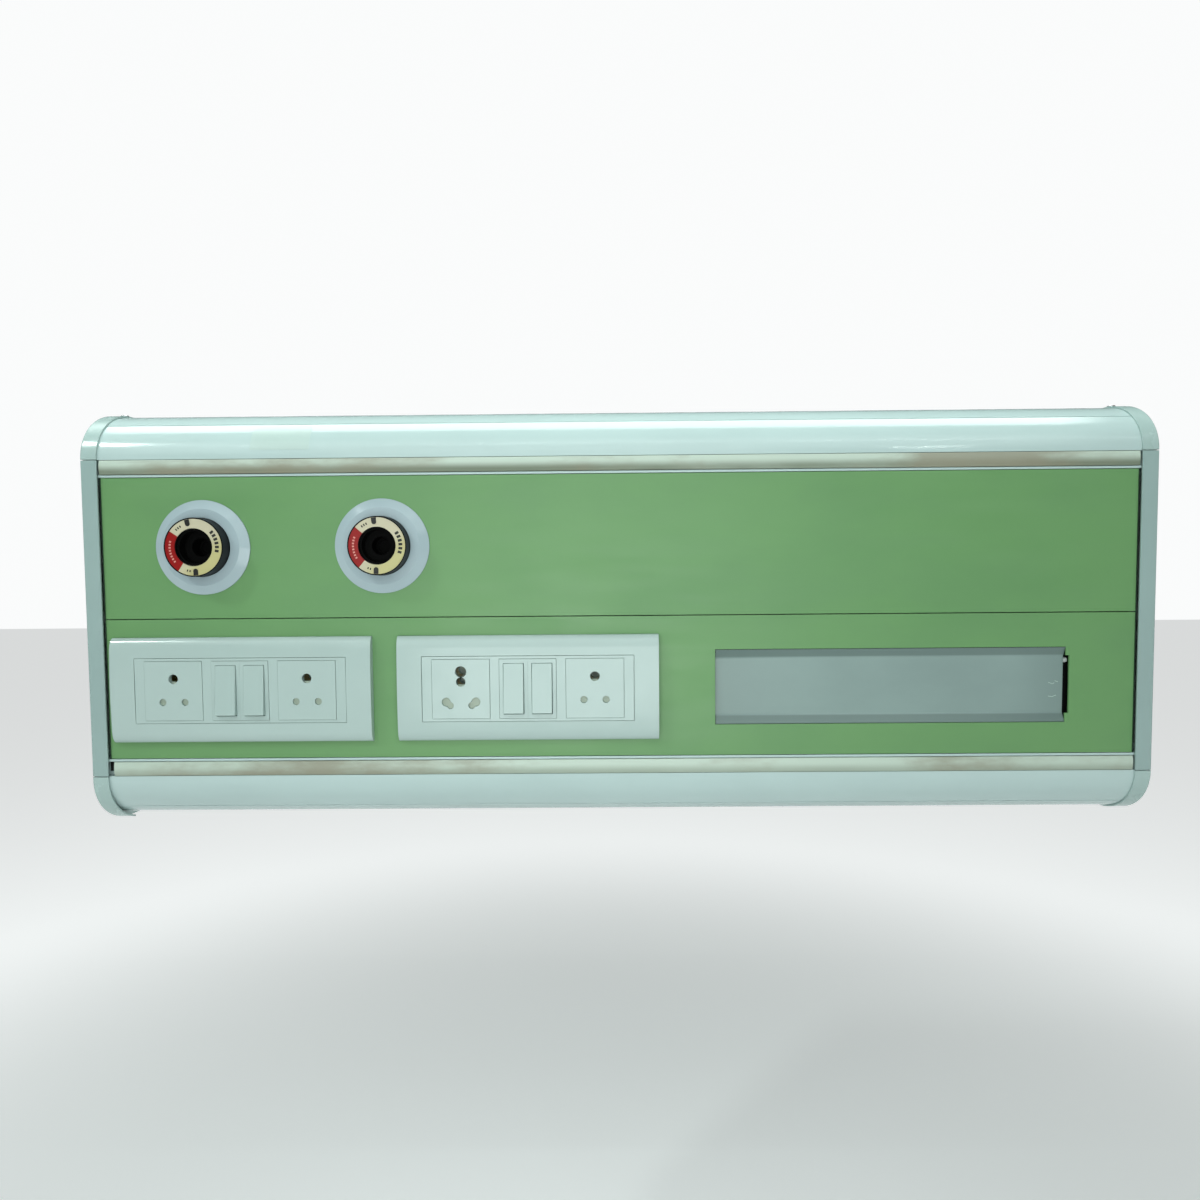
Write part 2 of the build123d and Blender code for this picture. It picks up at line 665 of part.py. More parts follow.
def valve_body(x):
    """Outlet valve: a bored barrel in front, a block with the pipe seat and a foot behind."""
    with BuildPart() as piece:
        add(
            turned(
                x,
                OUTLET_Z,
                (BARREL_CUP_RADIUS, BARREL_FRONT),
                (BARREL_RADIUS, BARREL_FRONT),
                (BARREL_RADIUS, -WALL - VALVE_BLOCK_DEPTH),
                (0, -WALL - VALVE_BLOCK_DEPTH),
                (0, CHAMBER_END),
                (CHAMBER_RADIUS, CHAMBER_END),
                (CHAMBER_RADIUS, SEAT_BACK),
                (SEAT_RADIUS, SEAT_BACK),
                (SEAT_RADIUS, SEAT_FRONT),
                (PROBE_RADIUS, SEAT_FRONT),
                (PROBE_RADIUS, BARREL_CUP),
                (BARREL_CUP_RADIUS, BARREL_CUP),
            )
        )
        block(about(x, VALVE_BLOCK), (-WALL - VALVE_BLOCK_DEPTH, -WALL), about(OUTLET_Z, VALVE_BLOCK))
        block(about(x, VALVE_FOOT_LENGTH), (-WALL - VALVE_FOOT, -WALL), about(OUTLET_Z, VALVE_BLOCK))
        with Locations((x, PIPE_Y, OUTLET_Z + VALVE_BLOCK / 2)):
            Hole(PIPE_RADIUS + PIPE_FIT, depth=PIPE_SEAT)
        with Locations(facing(x, -WALL - VALVE_FOOT, OUTLET_Z)):
            with GridLocations(VALVE_SCREW_SPACING, 1, 2, 1):
                Hole(SCREW_HOLE, depth=VALVE_FOOT)
    return piece


def inlet_pipe(x):
    """Copper stub that brings the gas in from above."""
    with BuildPart() as piece:
        with BuildSketch(Plane.XY.offset(OUTLET_Z + VALVE_BLOCK / 2 - PIPE_SEAT)):
            with Locations((x, PIPE_Y)):
                Circle(PIPE_RADIUS)
                Circle(PIPE_RADIUS - PIPE_WALL, mode=Mode.SUBTRACT)
        extrude(amount=PIPE_LENGTH)
    return piece


def poppet(x):
    """Valve poppet: a nose in the seat, a head behind it and a stem in the spring."""
    nose = SEAT_RADIUS - POPPET_GAP
    head = CHAMBER_RADIUS - POPPET_GAP
    return turned(
        x,
        OUTLET_Z,
        (0, SEAT_FRONT + POPPET_SETBACK),
        (nose, SEAT_FRONT + POPPET_SETBACK),
        (nose, SEAT_BACK),
        (head, SEAT_BACK),
        (head, POPPET_BACK),
        (POPPET_STEM_RADIUS, POPPET_BACK),
        (POPPET_STEM_RADIUS, POPPET_BACK + POPPET_STEM),
        (0, POPPET_BACK + POPPET_STEM),
    )


def poppet_spring(x):
    """Helical spring round the poppet's stem, from its head to the chamber's end."""
    with BuildPart() as piece:
        with BuildLine() as coil:
            length = CHAMBER_END - POPPET_BACK - 2 * SPRING_WIRE_RADIUS
            start = (x, CHAMBER_END - SPRING_WIRE_RADIUS, OUTLET_Z)
            Helix(length / SPRING_TURNS, length, SPRING_RADIUS, center=start, direction=(0, -1, 0))
        path = coil.wires()[0]
        with BuildSketch(Plane(origin=path @ 0, z_dir=path % 0)) as wire:
            Circle(SPRING_WIRE_RADIUS)
        sweep(wire.sketch, path=path, is_frenet=True)
    return piece


for (name, side), x, turn in zip(SIDES, OUTLET_X, OUTLET_TURN):
    for node, shape in (("bezel", bezel(x)), ("poppet", poppet(x))):
        with BuildPart() as piece:
            add(shape)
        finish(piece, f"{name}_outlet_{node}")
    finish(collar(x, turn), f"{name}_outlet_collar")
    finish(label_ring(x, turn), f"{name}_outlet_label_ring")
    finish(valve_body(x), f"{name}_outlet_valve_body")
    finish(inlet_pipe(x), f"{name}_outlet_inlet_pipe")
    finish(poppet_spring(x), f"{name}_outlet_poppet_spring")


# Socket and switch plates

def plate_face(inset=0.0, mode=Mode.ADD):
    """End view of a cover plate: rounded top and bottom edges and a slightly crowned face."""
    half = PLATE_HEIGHT / 2 - inset
    edge = PANEL_Y - PLATE_EDGE
    shoulder = PLATE_RISE - PLATE_CROWN - PLATE_EDGE - inset
    with BuildLine() as outline:
        lower = EllipticalCenterArc(
            (edge, PLATE_Z - half + PLATE_SHOULDER),
            shoulder,
            PLATE_SHOULDER,
            start_angle=2 * QUARTER_TURN,
            arc_size=QUARTER_TURN,
        )
        upper = EllipticalCenterArc(
            (edge, PLATE_Z + half - PLATE_SHOULDER),
            shoulder,
            PLATE_SHOULDER,
            start_angle=QUARTER_TURN,
            arc_size=QUARTER_TURN,
        )
        ThreePointArc(lower @ 0, (PANEL_Y - PLATE_RISE + inset, PLATE_Z), upper @ 1)
        Polyline(lower @ 1, (PANEL_Y, PLATE_Z - half), (PANEL_Y, PLATE_Z + half), upper @ 0)
    make_face(outline.edges(), mode=mode)


def cover_plate(x):
    """Outer plate, hollow behind, with a window for the fascia."""
    with BuildPart() as piece:
        with BuildSketch(Plane.YZ.offset(x)) as outside:
            plate_face()
        extrude(outside.sketch, amount=PLATE_LENGTH / 2, both=True)
        with BuildSketch(Plane.YZ.offset(x)) as inside:
            plate_face(inset=PLATE_WALL)
        extrude(inside.sketch, amount=PLATE_LENGTH / 2 - PLATE_WALL, both=True, mode=Mode.SUBTRACT)
        with BuildSketch(facing(x, PANEL_Y, PLATE_Z)) as window:
            Rectangle(FASCIA_LENGTH + 2 * FASCIA_SLACK, FASCIA_HEIGHT + 2 * FASCIA_SLACK)
        extrude(window.sketch, amount=2 * PLATE_RISE, mode=Mode.SUBTRACT)
    return piece


def module_places(x):
    """Middle and length of each aperture in a fascia, from left to right."""
    pair = 2 * SWITCH_LENGTH
    return ((x - MODULE_PITCH, SOCKET_LENGTH), (x, pair), (x + MODULE_PITCH, SOCKET_LENGTH))


def grid_frame(x):
    """Fascia with three apertures, a skirt round it and a flange that screws to the panel."""
    with BuildPart() as piece:
        block(about(x, FASCIA_LENGTH), (FASCIA_Y, PANEL_Y), about(PLATE_Z, FASCIA_HEIGHT))
        flange = (PANEL_Y - GRID_FLANGE, PANEL_Y)
        block(about(x, GRID_FLANGE_LENGTH), flange, about(PLATE_Z, GRID_FLANGE_HEIGHT))
        inner_length = FASCIA_LENGTH - 2 * FASCIA_WALL
        inner_height = FASCIA_HEIGHT - 2 * FASCIA_WALL
        block(about(x, inner_length), (FASCIA_BACK, PANEL_Y), about(PLATE_Z, inner_height), Mode.SUBTRACT)
        for middle, length in module_places(x):
            opening = length + 2 * MODULE_SLACK
            height = MODULE_HEIGHT + 2 * MODULE_SLACK
            block(about(middle, opening), (FASCIA_Y, FASCIA_BACK), about(PLATE_Z, height), Mode.SUBTRACT)
        with Locations(facing(x, PANEL_Y - GRID_FLANGE, PLATE_Z)):
            with GridLocations(GRID_SCREW_SPACING, 1, 2, 1):
                Hole(SCREW_HOLE, depth=GRID_FLANGE)
    return piece


def module_block(x, length, depth, shoulder_left=MODULE_SHOULDER, shoulder_right=MODULE_SHOULDER):
    """Module that fills an aperture, with shoulders that bear on the back of the fascia."""
    back = MODULE_FACE + depth
    block(about(x, length), (MODULE_FACE, back), about(PLATE_Z, MODULE_HEIGHT))
    wide = (x - length / 2 - shoulder_left, x + length / 2 + shoulder_right)
    block(wide, (FASCIA_BACK, back), about(PLATE_Z, MODULE_HEIGHT))


# Sockets, from left to right: which plate, which side of its middle, and its pins
SMALL_PINS = (SMALL_EARTH, SMALL_LIVE)
COMBI_PINS = (COMBI_BIG_EARTH, COMBI_SMALL_EARTH, COMBI_BIG_LIVE, COMBI_SMALL_LIVE)
SOCKETS = (
    (PLATE_X[0] - MODULE_PITCH, SMALL_PINS),
    (PLATE_X[0] + MODULE_PITCH, SMALL_PINS),
    (PLATE_X[1] - MODULE_PITCH, COMBI_PINS),
    (PLATE_X[1] + MODULE_PITCH, SMALL_PINS),
)
SHUTTER_FRONT = MODULE_FACE + SHUTTER_SETBACK
SHUTTER_BACK = SHUTTER_FRONT + SHUTTER_THICKNESS
CONTACT_START = SHUTTER_BACK + 2 * SHUTTER_GAP
CONTACT_END = CONTACT_START + CONTACT_LENGTH


def mirrored_pins(pins):
    """Every pin hole of a socket as (across, up, radius): a pin off the middle has a twin."""
    twins = [(-across, up, radius) for across, up, radius in pins if across]
    return list(pins) + twins


def shutter_bar(pins):
    """Extents of the bar that covers the live pins, as (half width, low, high)."""
    live = [pin for pin in pins if pin[0]]
    half = max(across + radius for across, up, radius in live) + SHUTTER_MARGIN
    low = min(up - radius for across, up, radius in live) - SHUTTER_MARGIN
    high = max(up + radius for across, up, radius in live) + SHUTTER_MARGIN
    return half, low, high


def shutter_stem_top(pins):
    """Top of the stem, a little inside the lowest earth hole."""
    return min(up - radius for across, up, radius in pins if not across) + SHUTTER_EARTH_REACH


def shutter(x, pins):
    """Sliding shutter: a bar over the live pins and a stem up to the earth pin."""
    half, low, high = shutter_bar(pins)
    with BuildPart() as piece:
        with BuildSketch(facing(x, SHUTTER_BACK, PLATE_Z)):
            bar((-half, half), (low, high))
            bar(about(0, SHUTTER_STEM), (low, shutter_stem_top(pins)))
        extrude(amount=SHUTTER_THICKNESS)
        top_edges = piece.edges().filter_by(Axis.X).sort_by(Axis.Z)[-2:]
        chamfer(top_edges.sort_by(Axis.Y)[0], SHUTTER_THICKNESS / 2)
    return piece


def socket(x, pins):
    """Socket module with its pin holes, the shutter's slideway and the contacts' pockets."""
    half, low, high = shutter_bar(pins)
    top = shutter_stem_top(pins) + SHUTTER_GAP
    slide_low = low - SHUTTER_TRAVEL - SHUTTER_GAP
    with BuildPart() as piece:
        module_block(x, SOCKET_LENGTH, SOCKET_DEPTH)
        with BuildSketch(facing(x, MODULE_FACE, PLATE_Z)) as holes:
            for across, up, radius in mirrored_pins(pins):
                with Locations((across, up)):
                    Circle(radius)
        extrude(holes.sketch, amount=-PIN_DEPTH, mode=Mode.SUBTRACT)
        with BuildSketch(facing(x, SHUTTER_FRONT - SHUTTER_GAP, PLATE_Z)) as slideway:
            bar((-half - SHUTTER_GAP, half + SHUTTER_GAP), (slide_low, high + SHUTTER_GAP))
            bar(about(0, SHUTTER_STEM + 2 * SHUTTER_GAP), (slide_low, top))
        extrude(slideway.sketch, amount=-SHUTTER_THICKNESS - 2 * SHUTTER_GAP, mode=Mode.SUBTRACT)
        with BuildSketch(facing(x, CONTACT_START, PLATE_Z)) as pockets:
            for across, up, radius in mirrored_pins(pins):
                with Locations((across, up)):
                    Circle(radius + CONTACT_WALL)
        extrude(pockets.sketch, amount=-CONTACT_LENGTH, mode=Mode.SUBTRACT)
    return piece


def contacts(sockets):
    """Brass sleeves behind the pin holes of one plate's sockets."""
    with BuildPart() as piece:
        with BuildSketch(facing(0, CONTACT_END, PLATE_Z)) as sleeves:
            for x, pins in sockets:
                for across, up, radius in mirrored_pins(pins):
                    with Locations((x + across, up)):
                        Circle(radius + CONTACT_WALL)
            for x, pins in sockets:
                for across, up, radius in mirrored_pins(pins):
                    with Locations((x + across, up)):
                        Circle(radius, mode=Mode.SUBTRACT)
        extrude(sleeves.sketch, amount=CONTACT_LENGTH)
    return piece


# Switches, from left to right
SWITCHES = [(x + sign * SWITCH_LENGTH / 2, sign) for x in PLATE_X for sign in (-1, 1)]
ROCKER_PIVOT_Y = MODULE_FACE + ROCKER_PIVOT_DEPTH


def rocker(x):
    """Rocker with a rib behind it and a pin at each side, tipped so that its foot stands proud."""
    half = ROCKER_LENGTH / 2
    with BuildPart() as piece:
        front = MODULE_FACE - ROCKER_PROUD
        slab = (front, front + ROCKER_THICKNESS)
        block((x - half, x + half), slab, about(PLATE_Z, ROCKER_HEIGHT))
        fillet(piece.edges().group_by(Axis.Y)[0], ROCKER_EDGE_RADIUS)
        rib = (slab[1], slab[1] + ROCKER_NOSE)
        block(about(x, ROCKER_NOSE_WIDTH), rib, about(PLATE_Z, ROCKER_NOSE_WIDTH))
        with BuildSketch(Plane.YZ.offset(x)) as pin:
            with Locations((ROCKER_PIVOT_Y, PLATE_Z)):
                Circle(ROCKER_PIN_RADIUS)
        extrude(pin.sketch, amount=half + ROCKER_SIDE_GAP + ROCKER_PIN_REACH, both=True)
        piece.part = piece.part.rotate(Axis((x, ROCKER_PIVOT_Y, PLATE_Z), (1, 0, 0)), -ROCKER_TILT)
    return piece


def switch(x, sign):
    """Switch module with the well its rocker tips in, and the sockets of its two pins."""
    left = MODULE_SHOULDER if sign < 0 else 0
    right = MODULE_SHOULDER if sign > 0 else 0
    half = ROCKER_LENGTH / 2 + ROCKER_SIDE_GAP
    with BuildPart() as piece:
        module_block(x, SWITCH_LENGTH, SWITCH_DEPTH, left, right)
        well = about(PLATE_Z, ROCKER_HEIGHT + 2 * ROCKER_END_GAP)
        block((x - half, x + half), (MODULE_FACE, MODULE_FACE + ROCKER_WELL), well, Mode.SUBTRACT)
        with BuildSketch(Plane.YZ.offset(x)) as pin:
            with Locations((ROCKER_PIVOT_Y, PLATE_Z)):
                Circle(ROCKER_PIN_RADIUS + ROCKER_PIN_FIT)
        extrude(pin.sketch, amount=half + ROCKER_PIN_SOCKET, both=True, mode=Mode.SUBTRACT)
    return piece


for (name, side), x in zip(SIDES, PLATE_X):
    finish(cover_plate(x), f"{name}_cover_plate")
    finish(grid_frame(x), f"{name}_grid_frame")
finish(contacts(SOCKETS[:2]), "left_contacts")
finish(contacts(SOCKETS[2:]), "right_contacts")
for number, (x, pins) in enumerate(SOCKETS, start=1):
    finish(socket(x, pins), f"socket_{number}")
    finish(shutter(x, pins), f"shutter_{number}")
for number, (x, sign) in enumerate(SWITCHES, start=1):
    finish(switch(x, sign), f"switch_{number}")
    finish(rocker(x), f"rocker_{number}")


# Reading light

def diffuser_half():
    """Upper half of the diffuser's end view: half the flat, the sloped lip and the leg."""
    half = LIGHT_HEIGHT / 2 - DIFFUSER_SLACK
    flat = half - DIFFUSER_LIP
    floor = PANEL_Y + DIFFUSER_RECESS
    leg_inner = half - DIFFUSER_SHEET
    with BuildLine() as outline:
        Polyline(
            (floor, LIGHT_Z),
            (floor, LIGHT_Z + flat),
            (PANEL_Y, LIGHT_Z + half),
            (PANEL_Y + DIFFUSER_LEG, LIGHT_Z + half),
            (PANEL_Y + DIFFUSER_LEG, LIGHT_Z + leg_inner),
            (PANEL_Y + DIFFUSER_SHEET, LIGHT_Z + leg_inner),
            (floor + DIFFUSER_SHEET, LIGHT_Z + flat),
            (floor + DIFFUSER_SHEET, LIGHT_Z),
            close=True,
        )
    make_face(outline.edges())


with BuildPart() as diffuser:
    with BuildSketch(Plane.YZ.offset(DIFFUSER_LEFT)):
        diffuser_half()
        mirror(about=Plane((0, LIGHT_Z, 0), z_dir=(0, 1, 0)))
    extrude(amount=DIFFUSER_RIGHT - DIFFUSER_LEFT)
finish(diffuser, "diffuser")

HOUSING_INSIDE = LIGHT_HEIGHT - 2 * DIFFUSER_SLACK
HOUSING_LEFT = LIGHT_LEFT - HOUSING_END_MARGIN
HOUSING_RIGHT = LIGHT_RIGHT + HOUSING_END_MARGIN
HOUSING_FLOOR = PANEL_BACK + HOUSING_DEPTH - HOUSING_WALL
TAB_Y = PANEL_BACK + TAB_SETBACK
TAB_LEFT = DIFFUSER_RIGHT + TAB_GAP
LIGHT_SCREW_X = (TAB_LEFT + HOUSING_RIGHT) / 2

with BuildPart() as light_housing:
    outer_x = (HOUSING_LEFT - HOUSING_WALL, HOUSING_RIGHT + HOUSING_WALL)
    outer_z = about(LIGHT_Z, HOUSING_INSIDE + 2 * HOUSING_WALL)
    block(outer_x, (PANEL_BACK, PANEL_BACK + HOUSING_DEPTH), outer_z)
    inside_x = (HOUSING_LEFT, HOUSING_RIGHT)
    block(inside_x, (PANEL_BACK, HOUSING_FLOOR), about(LIGHT_Z, HOUSING_INSIDE), Mode.SUBTRACT)
    block((TAB_LEFT, HOUSING_RIGHT), (TAB_Y, TAB_Y + TAB_DEPTH), about(LIGHT_Z, HOUSING_INSIDE))
    with Locations(facing(LIGHT_SCREW_X, TAB_Y, LIGHT_SCREW_Z)):
        Hole(SCREW_HOLE, depth=TAB_DEPTH)
finish(light_housing, "light_housing")

with BuildPart() as led_board:
    board = (HOUSING_LEFT + BOARD_END_MARGIN, HOUSING_RIGHT - BOARD_END_MARGIN)
    board_face = HOUSING_FLOOR - BOARD_THICKNESS
    block(board, (board_face, HOUSING_FLOOR), about(LIGHT_Z, BOARD_HEIGHT))
    chip_pitch = (board[1] - board[0]) / CHIP_COUNT
    with BuildSketch(facing(sum(board) / 2, board_face, LIGHT_Z)):
        with GridLocations(chip_pitch, 1, CHIP_COUNT, 1):
            Rectangle(CHIP_SIZE, CHIP_SIZE)
    extrude(amount=CHIP_THICKNESS)
finish(led_board, "led_board")

with BuildPart() as led_driver:
    block(about(LIGHT_X, DRIVER_LENGTH), (-WALL - DRIVER_DEPTH, -WALL), about(LIGHT_Z, DRIVER_HEIGHT))
    fillet(led_driver.edges().group_by(Axis.Y)[0], DRIVER_EDGE_RADIUS)
finish(led_driver, "led_driver")

with BuildPart() as panel_screws:
    for x in PLATE_X:
        for sign in (-1, 1):
            add(pan_screw(facing(x + sign * GRID_SCREW_SPACING / 2, PANEL_Y - GRID_FLANGE, PLATE_Z)))
    for x in OUTLET_X:
        for sign in (-1, 1):
            place = facing(x + sign * VALVE_SCREW_SPACING / 2, -WALL - VALVE_FOOT, OUTLET_Z)
            add(pan_screw(place, length=VALVE_FOOT))
    place = facing(LIGHT_SCREW_X, TAB_Y, LIGHT_SCREW_Z)
    add(pan_screw(place, head_radius=LIGHT_SCREW_HEAD_RADIUS))
finish(panel_screws, "panel_screws")
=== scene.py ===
import json
import math

import bmesh
import bpy
from mathutils import Matrix, Vector


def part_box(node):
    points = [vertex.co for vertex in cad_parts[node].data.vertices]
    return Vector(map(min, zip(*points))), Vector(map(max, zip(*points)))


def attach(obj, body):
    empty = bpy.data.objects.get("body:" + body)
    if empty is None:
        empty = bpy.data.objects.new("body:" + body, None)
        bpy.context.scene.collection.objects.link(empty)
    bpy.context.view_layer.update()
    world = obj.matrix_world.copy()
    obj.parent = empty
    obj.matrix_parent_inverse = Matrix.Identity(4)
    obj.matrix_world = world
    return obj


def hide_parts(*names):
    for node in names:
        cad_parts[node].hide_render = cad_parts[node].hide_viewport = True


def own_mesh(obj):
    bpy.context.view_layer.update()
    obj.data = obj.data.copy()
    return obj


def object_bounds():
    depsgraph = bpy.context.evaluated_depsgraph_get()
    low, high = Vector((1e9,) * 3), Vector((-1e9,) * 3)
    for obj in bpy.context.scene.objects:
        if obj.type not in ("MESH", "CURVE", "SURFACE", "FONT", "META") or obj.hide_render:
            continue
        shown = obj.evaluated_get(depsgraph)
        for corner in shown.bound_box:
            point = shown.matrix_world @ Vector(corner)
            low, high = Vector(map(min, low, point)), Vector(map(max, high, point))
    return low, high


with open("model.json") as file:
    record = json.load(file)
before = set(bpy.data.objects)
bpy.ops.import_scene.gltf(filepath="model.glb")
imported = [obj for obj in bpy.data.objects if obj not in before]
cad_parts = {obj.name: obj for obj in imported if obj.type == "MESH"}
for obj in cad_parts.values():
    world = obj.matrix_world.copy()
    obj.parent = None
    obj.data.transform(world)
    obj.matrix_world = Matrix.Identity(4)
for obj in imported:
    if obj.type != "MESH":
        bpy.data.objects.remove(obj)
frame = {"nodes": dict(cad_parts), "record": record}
cad_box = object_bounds()
NODES = frame["nodes"]

# Camera, measured from the photograph: metres and radians
CAMERA_PLACE = (-0.0095, -0.7808, 0.0498)
CAMERA_PITCH = 0.0514
CAMERA_YAW = -0.0083
CAMERA_ROLL = -0.0086
FOCAL_PIXELS = 821.6
IMAGE_PIXELS = 1200
SENSOR_WIDTH = 36.0


def camera_axes():
    """Right, forward and up of the camera in the frame, as the rows of a matrix."""
    cp, sp = math.cos(CAMERA_PITCH), math.sin(CAMERA_PITCH)
    cy, sy = math.cos(CAMERA_YAW), math.sin(CAMERA_YAW)
    cr, sr = math.cos(CAMERA_ROLL), math.sin(CAMERA_ROLL)
    yaw = Matrix(((cy, -sy, 0), (sy, cy, 0), (0, 0, 1)))
    pitch = Matrix(((1, 0, 0), (0, cp, -sp), (0, sp, cp)))
    roll = Matrix(((cr, 0, sr), (0, 1, 0), (-sr, 0, cr)))
    return roll @ pitch @ yaw


def make_camera():
    """Camera at the photograph's place and angle."""
    data = bpy.data.cameras.new("camera")
    data.sensor_width = SENSOR_WIDTH
    data.lens = FOCAL_PIXELS / IMAGE_PIXELS * SENSOR_WIDTH
    data.clip_start = 0.01
    camera = bpy.data.objects.new("camera", data)
    bpy.context.scene.collection.objects.link(camera)
    right, forward, up = camera_axes()
    turn = Matrix((right, up, -forward)).transposed()
    camera.matrix_world = Matrix.Translation(CAMERA_PLACE) @ turn.to_4x4()
    bpy.context.scene.camera = camera


# Colours

def srgb(red, green, blue):
    """Linear colour of an sRGB one given from 0 to 255."""
    def linear(value):
        value /= 255
        return value / 12.92 if value <= 0.04045 else ((value + 0.055) / 1.055) ** 2.4

    return (linear(red), linear(green), linear(blue), 1.0)


def shade(colour, factor):
    """The same colour, lighter or darker."""
    return tuple(channel * factor for channel in colour[:3]) + (1.0,)


# Materials

BEVEL_SAMPLES = 4
# Sockets of the colour mix node
MIX_FIRST, MIX_SECOND, MIX_RESULT = 6, 7, 2


class Look:
    """A node material being put together."""

    def __init__(self, name, roughness=0.5, metallic=0.0):
        self.material = bpy.data.materials.new(name)
        self.material.use_nodes = True
        self.tree = self.material.node_tree
        self.shader = self.tree.nodes["Principled BSDF"]
        self.shader.inputs["Roughness"].default_value = roughness
        self.shader.inputs["Metallic"].default_value = metallic
        self.place = self.add("ShaderNodeTexCoord").outputs["Object"]

    def add(self, kind, **settings):
        node = self.tree.nodes.new(kind)
        for key, value in settings.items():
            setattr(node, key, value)
        return node

    def feed(self, socket, value):
        """Link a value that is an output, or set one that is a number or colour."""
        if isinstance(value, bpy.types.NodeSocket):
            self.tree.links.new(value, socket)
        else:
            socket.default_value = value

    def stretched(self, scale):
        mapping = self.add("ShaderNodeMapping")
        mapping.inputs["Scale"].default_value = scale
        self.feed(mapping.inputs["Vector"], self.place)
        return mapping.outputs["Vector"]

    def noise(self, scale, detail=3.0, rough=0.55, stretch=(1, 1, 1)):
        node = self.add("ShaderNodeTexNoise")
        self.feed(node.inputs["Vector"], self.stretched(stretch))
        node.inputs["Scale"].default_value = scale
        node.inputs["Detail"].default_value = detail
        node.inputs["Roughness"].default_value = rough
        return node.outputs["Fac"]

    def ramp(self, value, low, high, out_low=0.0, out_high=1.0):
        """Map a stretch of a value to a stretch of another, clamped and smooth."""
        node = self.add("ShaderNodeMapRange", interpolation_type="SMOOTHSTEP")
        self.feed(node.inputs["Value"], value)
        node.inputs["From Min"].default_value = low
        node.inputs["From Max"].default_value = high
        node.inputs["To Min"].default_value = out_low
        node.inputs["To Max"].default_value = out_high
        return node.outputs["Result"]

    def blend(self, amount, first, second):
        node = self.add("ShaderNodeMix", data_type="RGBA")
        self.feed(node.inputs["Factor"], amount)
        self.feed(node.inputs[MIX_FIRST], first)
        self.feed(node.inputs[MIX_SECOND], second)
        return node.outputs[MIX_RESULT]

    def maths(self, operation, first, second):
        node = self.add("ShaderNodeMath", operation=operation)
        self.feed(node.inputs[0], first)
        self.feed(node.inputs[1], second)
        return node.outputs[0]

    def axis(self, index):
        node = self.add("ShaderNodeSeparateXYZ")
        self.feed(node.inputs[0], self.place)
        return node.outputs[index]

    def bevel(self, radius):
        node = self.add("ShaderNodeBevel", samples=BEVEL_SAMPLES)
        node.inputs["Radius"].default_value = radius
        return node.outputs["Normal"]

    def relief(self, height, distance, strength=1.0, edge=0.0):
        """Bump from a height, over edges that are softened by a radius."""
        node = self.add("ShaderNodeBump")
        node.inputs["Strength"].default_value = strength
        node.inputs["Distance"].default_value = distance
        self.feed(node.inputs["Height"], height)
        if edge:
            self.feed(node.inputs["Normal"], self.bevel(edge))
        self.feed(self.shader.inputs["Normal"], node.outputs["Normal"])

    def colour(self, value):
        self.feed(self.shader.inputs["Base Color"], value)

    def rough(self, value):
        self.feed(self.shader.inputs["Roughness"], value)


def powder_coat(name, colour, patch, roughness=0.38, grime=0.25, wiped=0.12):
    """Sprayed and baked paint on metal: orange peel, faint patches and handling marks."""
    look = Look(name, roughness)
    patches = look.ramp(look.noise(9, 4, stretch=(1, 1, 2)), 0.35, 0.7)
    base = look.blend(patches, colour, patch)
    specks = look.ramp(look.noise(900, 2), 0.70, 0.78, 0.0, grime)
    look.colour(look.blend(specks, base, shade(patch, 0.55)))
    wipes = look.noise(30, 5, stretch=(0.5, 1, 3))
    look.rough(look.ramp(wipes, 0.3, 0.75, roughness - wiped / 2, roughness + wiped))
    look.relief(look.noise(1500, 2), 0.00012, 0.25, edge=0.0004)
    return look.material


def moulded(name, colour, roughness=0.3, edge=0.0003, yellowing=0.97):
    """Moulded plastic: an even colour that has aged a little, and a very fine grain."""
    look = Look(name, roughness)
    aged = look.ramp(look.noise(14, 4), 0.35, 0.75)
    base = look.blend(aged, colour, shade(colour, yellowing))
    dust = look.ramp(look.noise(260, 6, 0.7), 0.62, 0.8, 0.0, 0.18)
    look.colour(look.blend(dust, base, shade(colour, 0.72)))
    look.rough(look.ramp(look.noise(60, 5), 0.3, 0.75, roughness - 0.05, roughness + 0.1))
    look.relief(look.noise(2600, 2), 0.00005, 0.2, edge=edge)
    return look.material


def metal(name, colour, roughness=0.35, brushed=(1, 1, 1)):
    """Bare metal with fine lines along one direction."""
    look = Look(name, roughness, metallic=1.0)
    lines = look.noise(700, 4, stretch=brushed)
    look.colour(look.blend(lines, colour, shade(colour, 0.8)))
    look.rough(look.ramp(lines, 0.3, 0.7, roughness - 0.08, roughness + 0.12))
    look.relief(lines, 0.00008, 0.3, edge=0.0002)
    return look.material


# Heights over which painted shade darkens each strip towards its lower edge and its roughness
# rises, unshaded first
UPPER_SHADE = (0.1335, 0.1262)
LOWER_SHADE = (-0.1275, -0.1358)
LOWER_SHADE_AMOUNT = 0.55
STRIP_UNSHADED = srgb(186, 202, 189)
STRIP_SHADED = srgb(113, 124, 106)
STRIP_BROWN = srgb(134, 128, 108)
STRIP_SCUFF = srgb(96, 100, 86)


